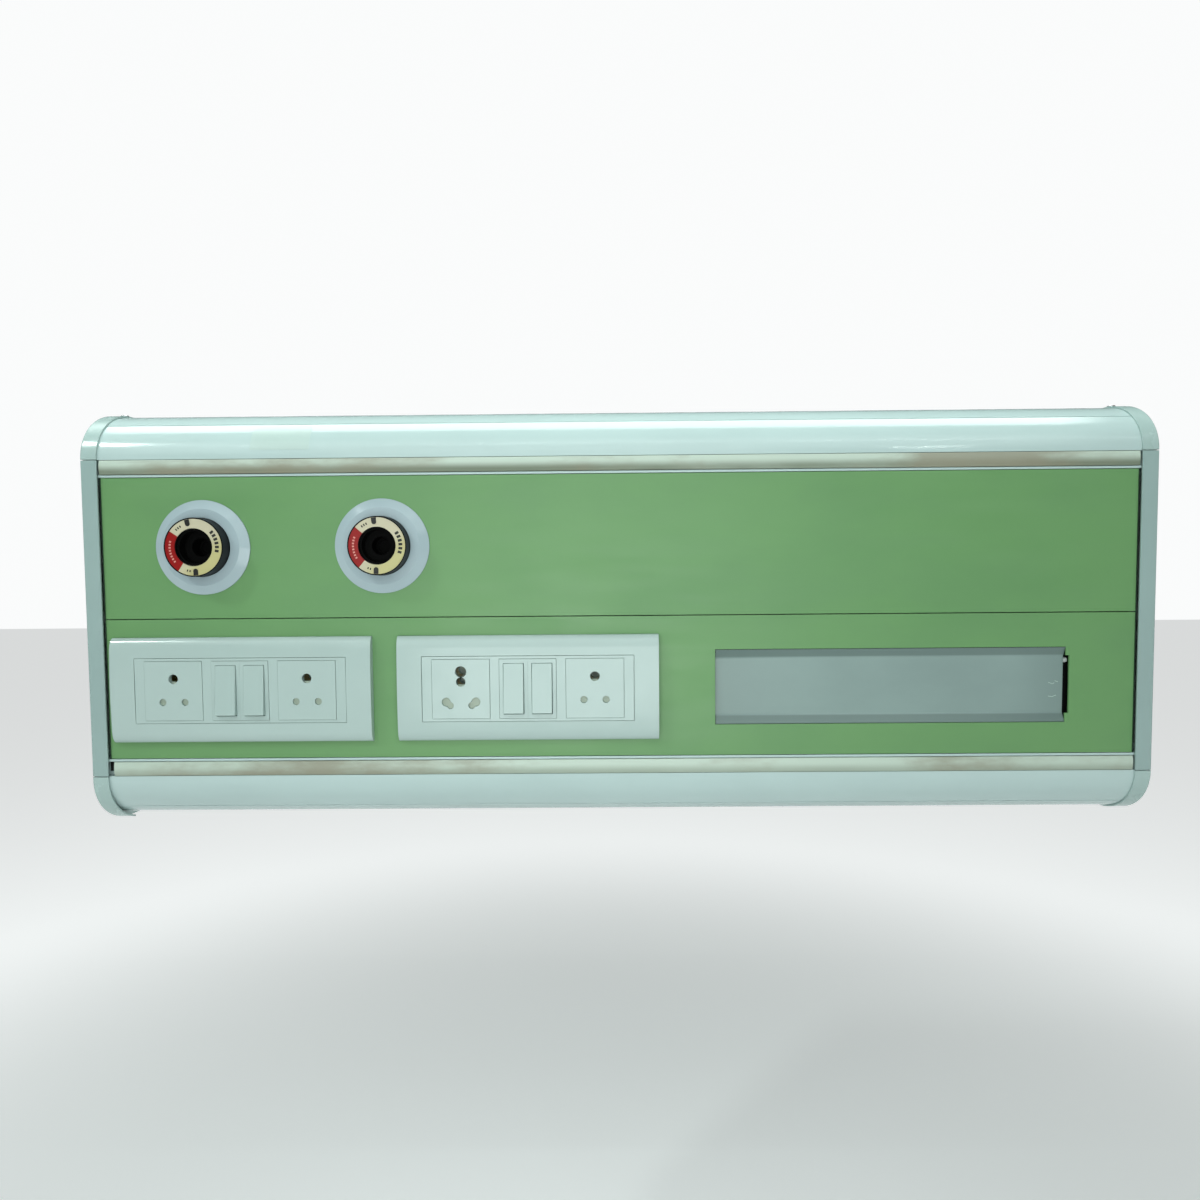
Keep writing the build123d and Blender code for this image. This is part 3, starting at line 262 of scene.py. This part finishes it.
def strip_material():
    """Old cream bumper strip: painted shade on its lower half, scuffs along it and brown patches.
    """
    look = Look("strip", 0.5)
    # Painted shade: each strip is darker towards its lower edge, in patches along it
    height = look.axis(2)
    upper_strip = look.maths("GREATER_THAN", height, 0.0)
    shade_above = look.ramp(height, *UPPER_SHADE)
    shade_below = look.ramp(height, *LOWER_SHADE, 0.0, LOWER_SHADE_AMOUNT)
    lower_shade = look.maths("ADD", look.maths("MULTIPLY", shade_above, upper_strip), shade_below)
    patches = look.ramp(look.noise(14, 5, 0.6, stretch=(0.3, 1, 1)), 0.2, 0.6, 0.55, 1.0)
    lower_shade = look.maths("MULTIPLY", lower_shade, patches)
    base = look.blend(lower_shade, STRIP_UNSHADED, STRIP_SHADED)
    blotches = look.ramp(look.noise(22, 6, 0.6, stretch=(0.25, 1, 0.7)), 0.46, 0.66, 0.0, 0.75)
    base = look.blend(blotches, base, STRIP_BROWN)
    scuffs = look.ramp(look.noise(120, 5, 0.6, stretch=(0.06, 1, 1)), 0.6, 0.75, 0.0, 0.35)
    base = look.blend(scuffs, base, STRIP_SCUFF)
    look.colour(base)
    look.rough(look.ramp(lower_shade, 0, 1, 0.4, 0.65))
    look.relief(look.noise(300, 5), 0.0002, 0.3, edge=0.0005)
    return look.material


DUST_ON_BLACK = srgb(40, 50, 52)
BLACK_GLOSS = 0.16


def black_material(name="black", roughness=0.45, colour=(3, 6, 8)):
    """Black moulded plastic with fine dust."""
    look = Look(name, roughness)
    look.shader.inputs["Specular IOR Level"].default_value = BLACK_GLOSS
    dust = look.ramp(look.noise(500, 4), 0.72, 0.82, 0.0, 0.1)
    look.colour(look.blend(dust, srgb(*colour), DUST_ON_BLACK))
    look.relief(look.noise(1500, 2), 0.00005, 0.3, edge=0.0004)
    return look.material


# Depths between which painted shade turns the valve black towards its front, and its colours
VALVE_SHADE_DEPTHS = (-0.058, -0.060)
VALVE_GLOSS = 0.1
VALVE_SHADE_BLACK = srgb(2, 2, 2)
BRASS = srgb(190, 160, 96)
BRASS_DARK = srgb(160, 132, 78)


def valve_material():
    """Valve turned from brass, its front painted black as the shade of the deep bore."""
    look = Look("valve", 0.35)
    look.shader.inputs["Specular IOR Level"].default_value = VALVE_GLOSS
    # Painted shade: the front, deep in the bore, is black and not metal
    front = look.ramp(look.axis(1), *VALVE_SHADE_DEPTHS)
    brass = look.blend(look.noise(500, 3), BRASS, BRASS_DARK)
    look.colour(look.blend(front, brass, VALVE_SHADE_BLACK))
    look.feed(look.shader.inputs["Metallic"], look.maths("SUBTRACT", 1.0, front))
    look.rough(look.ramp(front, 0, 1, 0.35, 0.7))
    return look.material


# Stretches of the diffuser that darken, as places along X and depths along Y
DIFFUSER_LEFT = (0.150, 0.086)
DIFFUSER_RIGHT = (0.330, 0.383)
DIFFUSER_LIP = (-0.0728, -0.0735)
DIFFUSER_PALE = srgb(134, 155, 151)
DIFFUSER_END = srgb(110, 130, 126)
DIFFUSER_DARK = srgb(86, 106, 102)


def diffuser_material():
    """Frosted sheet: satin, slightly uneven, darker towards its ends."""
    look = Look("diffuser", 0.3)
    left_end = look.ramp(look.axis(0), *DIFFUSER_LEFT, 0.0, 0.5)
    right_end = look.ramp(look.axis(0), *DIFFUSER_RIGHT, 0.0, 0.55)
    ends = look.maths("ADD", left_end, right_end)
    base = look.blend(ends, DIFFUSER_PALE, DIFFUSER_END)
    cloud = look.ramp(look.noise(14, 4, stretch=(0.6, 1, 1)), 0.35, 0.75, 0.0, 0.5)
    base = look.blend(cloud, base, shade(DIFFUSER_PALE, 0.8))
    lip = look.ramp(look.axis(1), *DIFFUSER_LIP, 0.0, 0.7)
    base = look.blend(lip, base, DIFFUSER_DARK)
    grit = look.ramp(look.noise(420, 5, 0.7), 0.66, 0.8, 0.0, 0.25)
    look.colour(look.blend(grit, base, shade(DIFFUSER_PALE, 0.5)))
    look.relief(look.noise(900, 3), 0.00008, 0.3, edge=0.0006)
    return look.material


LABEL_YELLOW = srgb(184, 178, 126)
LABEL_CREAM = srgb(190, 184, 158)
LABEL_RED = srgb(138, 5, 3)
LABEL_WORN = srgb(120, 118, 96)
RED_SECTOR = (math.radians(137), math.radians(228))
# How far to the lower right the yellowing starts and ends
YELLOWING = (0.004, 0.024)


def label_material(name, centre, turn):
    """Printed ring: cream, yellower at the lower right, with a red sector on the left."""
    look = Look(name, 0.3)
    across = look.maths("SUBTRACT", look.axis(0), centre.x)
    up = look.maths("SUBTRACT", look.axis(2), centre.z)
    angle = look.maths("SUBTRACT", look.maths("ARCTAN2", up, across), math.radians(turn))
    angle = look.maths("FLOORED_MODULO", angle, 2 * math.pi)
    after_start = look.maths("GREATER_THAN", angle, RED_SECTOR[0])
    before_end = look.maths("LESS_THAN", angle, RED_SECTOR[1])
    red = look.maths("MULTIPLY", after_start, before_end)
    tint = look.ramp(look.maths("SUBTRACT", across, up), *YELLOWING)
    base = look.blend(tint, LABEL_CREAM, LABEL_YELLOW)
    rub = look.ramp(look.noise(420, 5), 0.62, 0.78, 0.0, 0.3)
    base = look.blend(rub, base, LABEL_WORN)
    look.colour(look.blend(red, base, LABEL_RED))
    look.relief(look.noise(1200, 2), 0.00003, 0.2)
    return look.material


def plain(name, colour, roughness=0.4):
    """Ink, paint or film with a slight variation."""
    look = Look(name, roughness)
    look.colour(look.blend(look.noise(300, 3), colour, shade(colour, 0.85)))
    return look.material


WHITE_PAINT = srgb(180, 201, 199)
WHITE_PLASTIC = srgb(170, 189, 185)
MATERIALS = {
    "white_profile": powder_coat(
        "profile_paint", WHITE_PAINT, shade(WHITE_PAINT, 0.96), 0.12, 0.08, 0.02
    ),
    "bare_aluminium": metal("bare_aluminium", srgb(190, 192, 194), 0.4, (0.02, 1, 1)),
    "end_steel": powder_coat("end_paint", srgb(175, 186, 184), srgb(168, 180, 178)),
    "green_cover": powder_coat("cover_paint", srgb(101, 147, 93), srgb(98, 143, 92), 0.42, 0.15),
    "cream_strip": strip_material(),
    "grey_moulding": moulded("trim_plastic", srgb(148, 171, 168), 0.34, 0.0006, 0.96),
    "white_moulding": moulded("white_plastic", WHITE_PLASTIC, 0.16, 0.0005, 0.98),
    "black_plastic": black_material(),
    "brass": metal("brass", BRASS, 0.3),
    "spring_steel": metal("spring_steel", srgb(150, 152, 156), 0.3),
    "copper": metal("copper", srgb(196, 128, 92), 0.3),
    "shutter_plastic": moulded("shutter_plastic", srgb(164, 176, 160), 0.4),
    "zinc_steel": metal("zinc_steel", srgb(196, 198, 200), 0.28),
    "grommet_rubber": moulded("rubber", srgb(24, 24, 25), 0.7),
    "housing_black": black_material("tray", 0.6, (2, 2, 2)),
    "board_white": moulded("board", srgb(226, 230, 228), 0.4),
    "diffuser_sheet": diffuser_material(),
    "driver_case": moulded("driver_case", srgb(214, 214, 210), 0.4),
}
OWN_MATERIALS = {
    "left_outlet_valve_body": "valve",
    "right_outlet_valve_body": "valve",
    "left_outlet_poppet": "valve",
    "right_outlet_poppet": "valve",
    "panel_screws": "pale_screw",
    "left_top_cap": "cap",
    "right_top_cap": "cap",
    "left_bottom_cap": "cap",
    "right_bottom_cap": "cap",
    "left_outlet_bezel": "bezel",
    "right_outlet_bezel": "bezel",
}


def set_material(node, material):
    """Put a material on a CAD node, in place of its packed one."""
    for slot in NODES[node].material_slots:
        slot.link = "OBJECT"
        slot.material = material


def dress_nodes():
    """Give every CAD node the material of its slot; the labels get theirs later."""
    # The bezels' own plastic is bluer than the plates, and darker as painted shade
    bezel = moulded("bezel_plastic_shaded", srgb(164, 182, 188), 0.1, 0.0004, 0.98)
    cap = moulded("cap_plastic", srgb(164, 187, 183), 0.22, 0.0008, 0.95)
    screw = moulded("pale_screw", srgb(214, 222, 219), 0.35)
    special = {"valve": valve_material(), "bezel": bezel, "cap": cap, "pale_screw": screw}
    for part in frame["record"]["subparts"]:
        if part["material_slot"] in MATERIALS:
            set_material(part["node"], MATERIALS[part["material_slot"]])
    for node, name in OWN_MATERIALS.items():
        set_material(node, special[name])


# Geometry helpers

def piece(name, mesh_maker, material, body="unit", smooth=False):
    """New mesh object, filled by a function, riding on a body."""
    mesh = bpy.data.meshes.new(name)
    maker = bmesh.new()
    mesh_maker(maker)
    bmesh.ops.recalc_face_normals(maker, faces=maker.faces)
    maker.to_mesh(mesh)
    maker.free()
    for polygon in mesh.polygons:
        polygon.use_smooth = smooth
    mesh.materials.append(material)
    obj = bpy.data.objects.new(name, mesh)
    bpy.context.scene.collection.objects.link(obj)
    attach(obj, body)
    return obj


def plate_of(maker, outline, thickness):
    """Thin plate from a closed list of front points, thickened along +Y."""
    front = [maker.verts.new(point) for point in outline]
    back = [maker.verts.new(Vector(point) + Vector((0, thickness, 0))) for point in outline]
    maker.faces.new(front)
    maker.faces.new(list(reversed(back)))
    for index, vert in enumerate(front):
        after = (index + 1) % len(front)
        maker.faces.new((vert, back[index], back[after], front[after]))


# Outlet labels: print as plain bars

OUTLETS = ("left", "right")
# How far each label is turned anticlockwise, in degrees
OUTLET_TURN = {"left": 8.4, "right": 1.8}
PRINT_THICKNESS = 0.00006
# Each row: first angle, step and count of bars, then their radius, width along the arc and
# height, in degrees and millimetres
DARK_PRINT = (
    (30.0, -9.6, 6, 19.9, 2.1, 3.3),
    (125.0, -6.0, 3, 20.2, 1.1, 1.9),
    (246.0, 6.0, 2, 20.2, 1.0, 1.7),
)
# Slots in the rim, where the black collar shows: their angle, in degrees
NOTCHES = (94.0, 265.5)
NOTCH_RADII = (20.0, 23.6)
NOTCH_WIDTH = 4.1
NOTCH_STEPS = 10
PALE_PRINT = ((158.0, 7.2, 8, 19.9, 1.3, 1.7),)


def arc_bar(maker, centre, face_y, angle, radius, width, height):
    """Small bar of print, square to the radius at an angle."""
    outward = Vector((math.cos(angle), 0, math.sin(angle)))
    along = Vector((-math.sin(angle), 0, math.cos(angle)))
    middle = Vector((centre.x, face_y, centre.z)) + outward * radius
    corners = [
        middle + along * (sx * width / 2) + outward * (sy * height / 2)
        for sx, sy in ((-1, -1), (1, -1), (1, 1), (-1, 1))
    ]
    plate_of(maker, corners, PRINT_THICKNESS)


def notch_bar(maker, centre, face_y, angle):
    """Dark slot with a round inner end, open at the rim."""
    outward = Vector((math.cos(angle), 0, math.sin(angle)))
    along = Vector((-math.sin(angle), 0, math.cos(angle)))
    middle = Vector((centre.x, face_y, centre.z)) + outward * NOTCH_RADII[0] / 1000
    half = NOTCH_WIDTH / 2000
    rim = outward * (NOTCH_RADII[1] - NOTCH_RADII[0]) / 1000
    outline = [middle + along * half + rim]
    for step in range(NOTCH_STEPS + 1):
        turn = math.pi * step / NOTCH_STEPS
        outline.append(middle + along * half * math.cos(turn) - outward * half * math.sin(turn))
    outline.append(middle - along * half + rim)
    plate_of(maker, outline, PRINT_THICKNESS)


def print_rows(rows, centre, face_y, turn, notches=()):
    """Function that draws rows of bars on one label."""
    def draw(maker):
        for angle in notches:
            notch_bar(maker, centre, face_y, math.radians(angle + turn))
        for start, step, count, radius, width, height in rows:
            for number in range(count):
                angle = math.radians(start + step * number + turn)
                arc_bar(maker, centre, face_y, angle, radius / 1000, width / 1000, height / 1000)

    return draw


def dress_labels():
    """Material and print of both outlet labels."""
    ink = plain("label_ink", srgb(22, 22, 20))
    pale_ink = plain("label_pale_ink", srgb(214, 150, 140))
    for name in OUTLETS:
        low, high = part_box(f"{name}_outlet_label_ring")
        centre = (low + high) / 2
        turn = OUTLET_TURN[name]
        set_material(f"{name}_outlet_label_ring", label_material(f"{name}_label", centre, turn))
        face_y = low.y - PRINT_THICKNESS
        body = f"{name}_outlet_collar"
        dark = print_rows(DARK_PRINT, centre, face_y, turn, NOTCHES)
        pale = print_rows(PALE_PRINT, centre, face_y, turn)
        piece(f"{name}_label_print", dark, ink, body)
        piece(f"{name}_label_pale_print", pale, pale_ink, body)


# Valve springs, wound again as coils

SPRING_WIRE = 0.0006
SPRING_TURNS = 4
SPRING_STEPS = 112
SPRING_SIDES = 8


def spring_coil(low, high):
    """Function that draws a coil of round wire filling a box along Y."""
    def draw(maker):
        centre = (low + high) / 2
        radius = (high.x - low.x) / 2 - SPRING_WIRE
        length = high.y - low.y - 2 * SPRING_WIRE
        rings = []
        for step in range(SPRING_STEPS + 1):
            share = step / SPRING_STEPS
            angle = 2 * math.pi * SPRING_TURNS * share
            outward = Vector((math.cos(angle), 0, math.sin(angle)))
            depth = high.y - SPRING_WIRE - length * share
            middle = Vector((centre.x, depth, centre.z)) + outward * radius
            ring = []
            for side in range(SPRING_SIDES):
                turn = 2 * math.pi * side / SPRING_SIDES
                offset = outward * math.cos(turn) + Vector((0, 1, 0)) * math.sin(turn)
                ring.append(maker.verts.new(middle + offset * SPRING_WIRE))
            rings.append(ring)
        for first, second in zip(rings, rings[1:]):
            for side in range(SPRING_SIDES):
                after = (side + 1) % SPRING_SIDES
                maker.faces.new((first[side], first[after], second[after], second[side]))
        maker.faces.new(rings[0])
        maker.faces.new(rings[-1])

    return draw


def wind_springs():
    """A coil in place of each valve spring."""
    for name in OUTLETS:
        low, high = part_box(f"{name}_outlet_poppet_spring")
        material = MATERIALS["spring_steel"]
        coil = piece(
            f"{name}_valve_spring", spring_coil(low, high), material, smooth=True
        )
        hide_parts(f"{name}_outlet_poppet_spring")
        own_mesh(coil)


# Tape, scratches, and painted shade in the joints and in a gap

# The nose's ellipse: its middle and half sizes, along Y and Z
NOSE_MIDDLE = (-0.023, 0.1366)
NOSE_SIZE = (0.055, 0.044)
# The tape: its ends, its lower and upper edge, and its two faces above the nose
TAPE_X = (-0.313, -0.2625)
TAPE_HEIGHTS = (0.1441, 0.1643)
TAPE_LIFT = (0.00002, 0.00014)
TAPE_STEPS = 14


def nose_point(x, height, lift):
    """Point on the upper nose at a height, lifted off its surface."""
    sine = (height - NOSE_MIDDLE[1]) / NOSE_SIZE[1]
    cosine = math.sqrt(1 - sine * sine)
    depth = NOSE_MIDDLE[0] - (NOSE_SIZE[0] + lift) * cosine
    return Vector((x, depth, NOSE_MIDDLE[1] + (NOSE_SIZE[1] + lift) * sine))


def draw_tape(maker):
    """Strip of clear tape that follows the nose."""
    left, right = TAPE_X
    under, over = TAPE_LIFT
    corners = ((left, under), (left, over), (right, over), (right, under))
    rows = []
    for step in range(TAPE_STEPS + 1):
        height = TAPE_HEIGHTS[0] + (TAPE_HEIGHTS[1] - TAPE_HEIGHTS[0]) * step / TAPE_STEPS
        rows.append([maker.verts.new(nose_point(x, height, lift)) for x, lift in corners])
    for low, high in zip(rows, rows[1:]):
        for index in range(len(corners)):
            after = (index + 1) % len(corners)
            maker.faces.new((low[index], low[after], high[after], high[index]))
    maker.faces.new(rows[0])
    maker.faces.new(rows[-1])


# Strokes on the diffuser near its right end, as (x, z) ends in millimetres
SCRATCHES = (
    ((371.4, -61.0), (374.9, -62.3)),
    ((374.9, -62.3), (376.6, -61.4)),
    ((376.8, -59.7), (379.6, -60.7)),
    ((371.2, -73.0), (374.6, -73.4)),
    ((374.6, -73.4), (378.1, -72.2)),
)
SCRATCH_WIDTH = 0.0004
SCRATCH_HEIGHT = 0.00006
# Depth of the diffuser's flat behind its front
DIFFUSER_DEPTH = 0.004


def draw_scratches(maker):
    """Pale raised strokes on the flat of the diffuser."""
    floor_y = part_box("diffuser")[0].y + DIFFUSER_DEPTH
    for start, end in SCRATCHES:
        first = Vector((start[0] / 1000, floor_y - SCRATCH_HEIGHT, start[1] / 1000))
        last = Vector((end[0] / 1000, floor_y - SCRATCH_HEIGHT, end[1] / 1000))
        side = (last - first).cross(Vector((0, 1, 0))).normalized() * SCRATCH_WIDTH / 2
        plate_of(maker, [first - side, last - side, last + side, first + side], SCRATCH_HEIGHT)


# The dark sheet of painted shadow: its front ahead of the strip's back, its thickness, its lower
# edge above the strip's and its reach to the left of the cover
GAP_FRONT = 0.0042
GAP_THICKNESS = 0.0040
GAP_RISE = 0.004
GAP_REACH = 0.0012


def draw_strip_gap_shadow(maker):
    """Dark sheet of painted shadow in the gap behind the end of the lower strip that stops short.
    """
    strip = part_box("bottom_bumper_strip")
    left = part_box("lower_panel")[0].x - GAP_REACH
    back = strip[1].y
    right, bottom, top = strip[0].x, strip[0].z + GAP_RISE, strip[1].z
    corners = ((left, bottom), (right, bottom), (right, top), (left, top))
    plate_of(maker, [Vector((x, back - GAP_FRONT, z)) for x, z in corners], GAP_THICKNESS)


# Green corners at the right end of the light's opening: x and z ranges, in millimetres
CORNER_X = (383.6, 386.85)
CORNER_HEIGHTS = ((-37.0, -29.75), (-94.85, -87.0))
PANEL_THICKNESS = 0.0012
JOINT_SETBACK = 0.0008


def draw_corners(maker):
    """Tongues of the lower cover beside the ends of the diffuser's lips."""
    face_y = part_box("lower_panel")[0].y
    for low, high in CORNER_HEIGHTS:
        corners = ((CORNER_X[0], low), (CORNER_X[1], low), (CORNER_X[1], high), (CORNER_X[0], high))
        plate_of(maker, [Vector((x / 1000, face_y, z / 1000)) for x, z in corners], PANEL_THICKNESS)


def draw_joints(maker):
    """Dark green sheet of painted shade in the joint between the covers and each end trim."""
    lower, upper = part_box("lower_panel"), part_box("upper_panel")
    joints = (
        (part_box("left_trim")[1].x, lower[0].x),
        (lower[1].x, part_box("right_trim")[0].x),
    )
    y = lower[0].y + JOINT_SETBACK
    for left, right in joints:
        corners = ((left, lower[0].z), (right, lower[0].z), (right, upper[1].z), (left, upper[1].z))
        plate_of(maker, [Vector((x, y, z)) for x, z in corners], PANEL_THICKNESS)


def add_details():
    """Small things that only the surface needs."""
    film = Look("tape_film", 0.3)
    tint = srgb(176, 197, 191)
    film.colour(film.blend(film.noise(200, 3), tint, shade(tint, 0.96)))
    piece("name_tape", draw_tape, film.material)
    scratch = plain("scratch", srgb(186, 208, 202), 0.5)
    piece("diffuser_scratches", draw_scratches, scratch)
    piece("light_opening_corners", draw_corners, MATERIALS["green_cover"])
    # Painted shade: dark green sheets in the shaded joints beside the covers
    joint_shade_look = plain("joint_shade", srgb(36, 62, 44), 0.6)
    piece("joint_shade_sheets", draw_joints, joint_shade_look)
    # The gap behind the lower strip's end is filled with black as painted shadow
    piece("strip_end_gap_shadow", draw_strip_gap_shadow, black_material("gap", 0.7, (2, 4, 4)))


# Light and floor

FLOOR_DROP = 0.8
FLOOR_HALF_WIDTH = 12
# Square of the distance from the unit where the floor's glow starts and ends to rise
GLOW_FROM = (0.3, 5.0)
GLOW = (0.08, 0.62)
BACKGROUND = (0.96, 0.97, 0.97, 1.0)


def make_stage():
    """Pale floor below the unit."""
    mesh = bpy.data.meshes.new("floor")
    maker = bmesh.new()
    bmesh.ops.create_grid(maker, x_segments=1, y_segments=1, size=FLOOR_HALF_WIDTH)
    maker.to_mesh(mesh)
    maker.free()
    floor = bpy.data.objects.new("floor", mesh)
    floor.location.z = cad_box[0].z - FLOOR_DROP
    bpy.context.scene.collection.objects.link(floor)
    look = Look("floor", 0.9)
    look.colour(look.blend(look.noise(3, 3), BACKGROUND, shade(BACKGROUND, 0.98)))
    across, along = look.axis(0), look.axis(1)
    squares = [look.maths("MULTIPLY", value, value) for value in (across, along)]
    glow = look.ramp(look.maths("ADD", *squares), *GLOW_FROM, *GLOW)
    look.shader.inputs["Emission Color"].default_value = BACKGROUND
    look.feed(look.shader.inputs["Emission Strength"], glow)
    mesh.materials.append(look.material)


WORLD_TOP = (0.92, 1.0, 0.98, 1.0)
WORLD_BOTTOM = (0.55, 0.60, 0.59, 1.0)
WORLD_STRENGTH = 0.11
# Upward share of a direction where the sky starts and ends to brighten
SKY_RISE = (-0.6, 0.8)


def make_world():
    """Soft light that is stronger from above, and a plain pale colour behind the unit."""
    world = bpy.data.worlds.new("world")
    bpy.context.scene.world = world
    world.use_nodes = True
    tree = world.node_tree
    tree.nodes.clear()
    output = tree.nodes.new("ShaderNodeOutputWorld")
    place = tree.nodes.new("ShaderNodeTexCoord")
    split = tree.nodes.new("ShaderNodeSeparateXYZ")
    rise = tree.nodes.new("ShaderNodeMapRange")
    rise.inputs["From Min"].default_value = SKY_RISE[0]
    rise.inputs["From Max"].default_value = SKY_RISE[1]
    sky = tree.nodes.new("ShaderNodeMix")
    sky.data_type = "RGBA"
    sky.inputs[MIX_FIRST].default_value = WORLD_BOTTOM
    sky.inputs[MIX_SECOND].default_value = WORLD_TOP
    light = tree.nodes.new("ShaderNodeBackground")
    light.inputs["Strength"].default_value = WORLD_STRENGTH
    seen = tree.nodes.new("ShaderNodeBackground")
    seen.inputs["Color"].default_value = BACKGROUND
    path = tree.nodes.new("ShaderNodeLightPath")
    mix = tree.nodes.new("ShaderNodeMixShader")
    for start, end in (
        (place.outputs["Generated"], split.inputs[0]),
        (split.outputs[2], rise.inputs["Value"]),
        (rise.outputs["Result"], sky.inputs["Factor"]),
        (sky.outputs[MIX_RESULT], light.inputs["Color"]),
        (path.outputs["Is Camera Ray"], mix.inputs[0]),
        (light.outputs[0], mix.inputs[1]),
        (seen.outputs[0], mix.inputs[2]),
        (mix.outputs[0], output.inputs[0]),
    ):
        tree.links.new(start, end)


LAMP_COLOUR = (0.92, 1.0, 0.98)
# Each lamp: name, place, aim, size and power
LAMPS = (
    ("key", (-0.10, -0.85, 0.32), (-0.04, 0.0, 0.0), (0.8, 0.45), 1.3),
    ("low_key", (-0.04, -0.85, -0.12), (0.0, 0.0, -0.06), (0.6, 0.35), 2.0),
    ("ceiling", (-0.05, -1.25, 1.15), (-0.05, 0.0, 0.0), (2.6, 0.9), 8.5),
    ("tube", (0.25, -1.30, 1.33), (0.25, 0.0, 0.14), (2.8, 0.010), 3),
    ("overhead", (-0.05, 0.14, 1.27), (-0.05, -0.04, 0.1), (2.2, 0.6), 23),
    ("window_left", (-1.35, -0.95, 1.25), (-0.3, 0.0, 0.06), (0.10, 0.14), 8),
    ("window_right", (0.75, -1.25, 0.62), (-0.2, 0.0, 0.06), (0.05, 0.08), 0.5),
    ("fill", (0.0, -2.6, 0.4), (0.0, 0.0, 0.0), (2.4, 1.4), 2),
)


def make_lights():
    """Ceiling lamps in front of the unit, two small windows and a weak broad fill."""
    for name, place, aim, size, power in LAMPS:
        data = bpy.data.lights.new(name, "AREA")
        data.shape = "RECTANGLE"
        data.size, data.size_y = size
        data.energy = power
        data.color = LAMP_COLOUR
        lamp = bpy.data.objects.new(name, data)
        lamp.location = place
        direction = Vector(aim) - Vector(place)
        lamp.rotation_euler = direction.to_track_quat("-Z", "Y").to_euler()
        bpy.context.scene.collection.objects.link(lamp)


bpy.context.scene.view_settings.view_transform = "Standard"
make_camera()
dress_nodes()
dress_labels()
wind_springs()
add_details()
make_stage()
make_world()
make_lights()
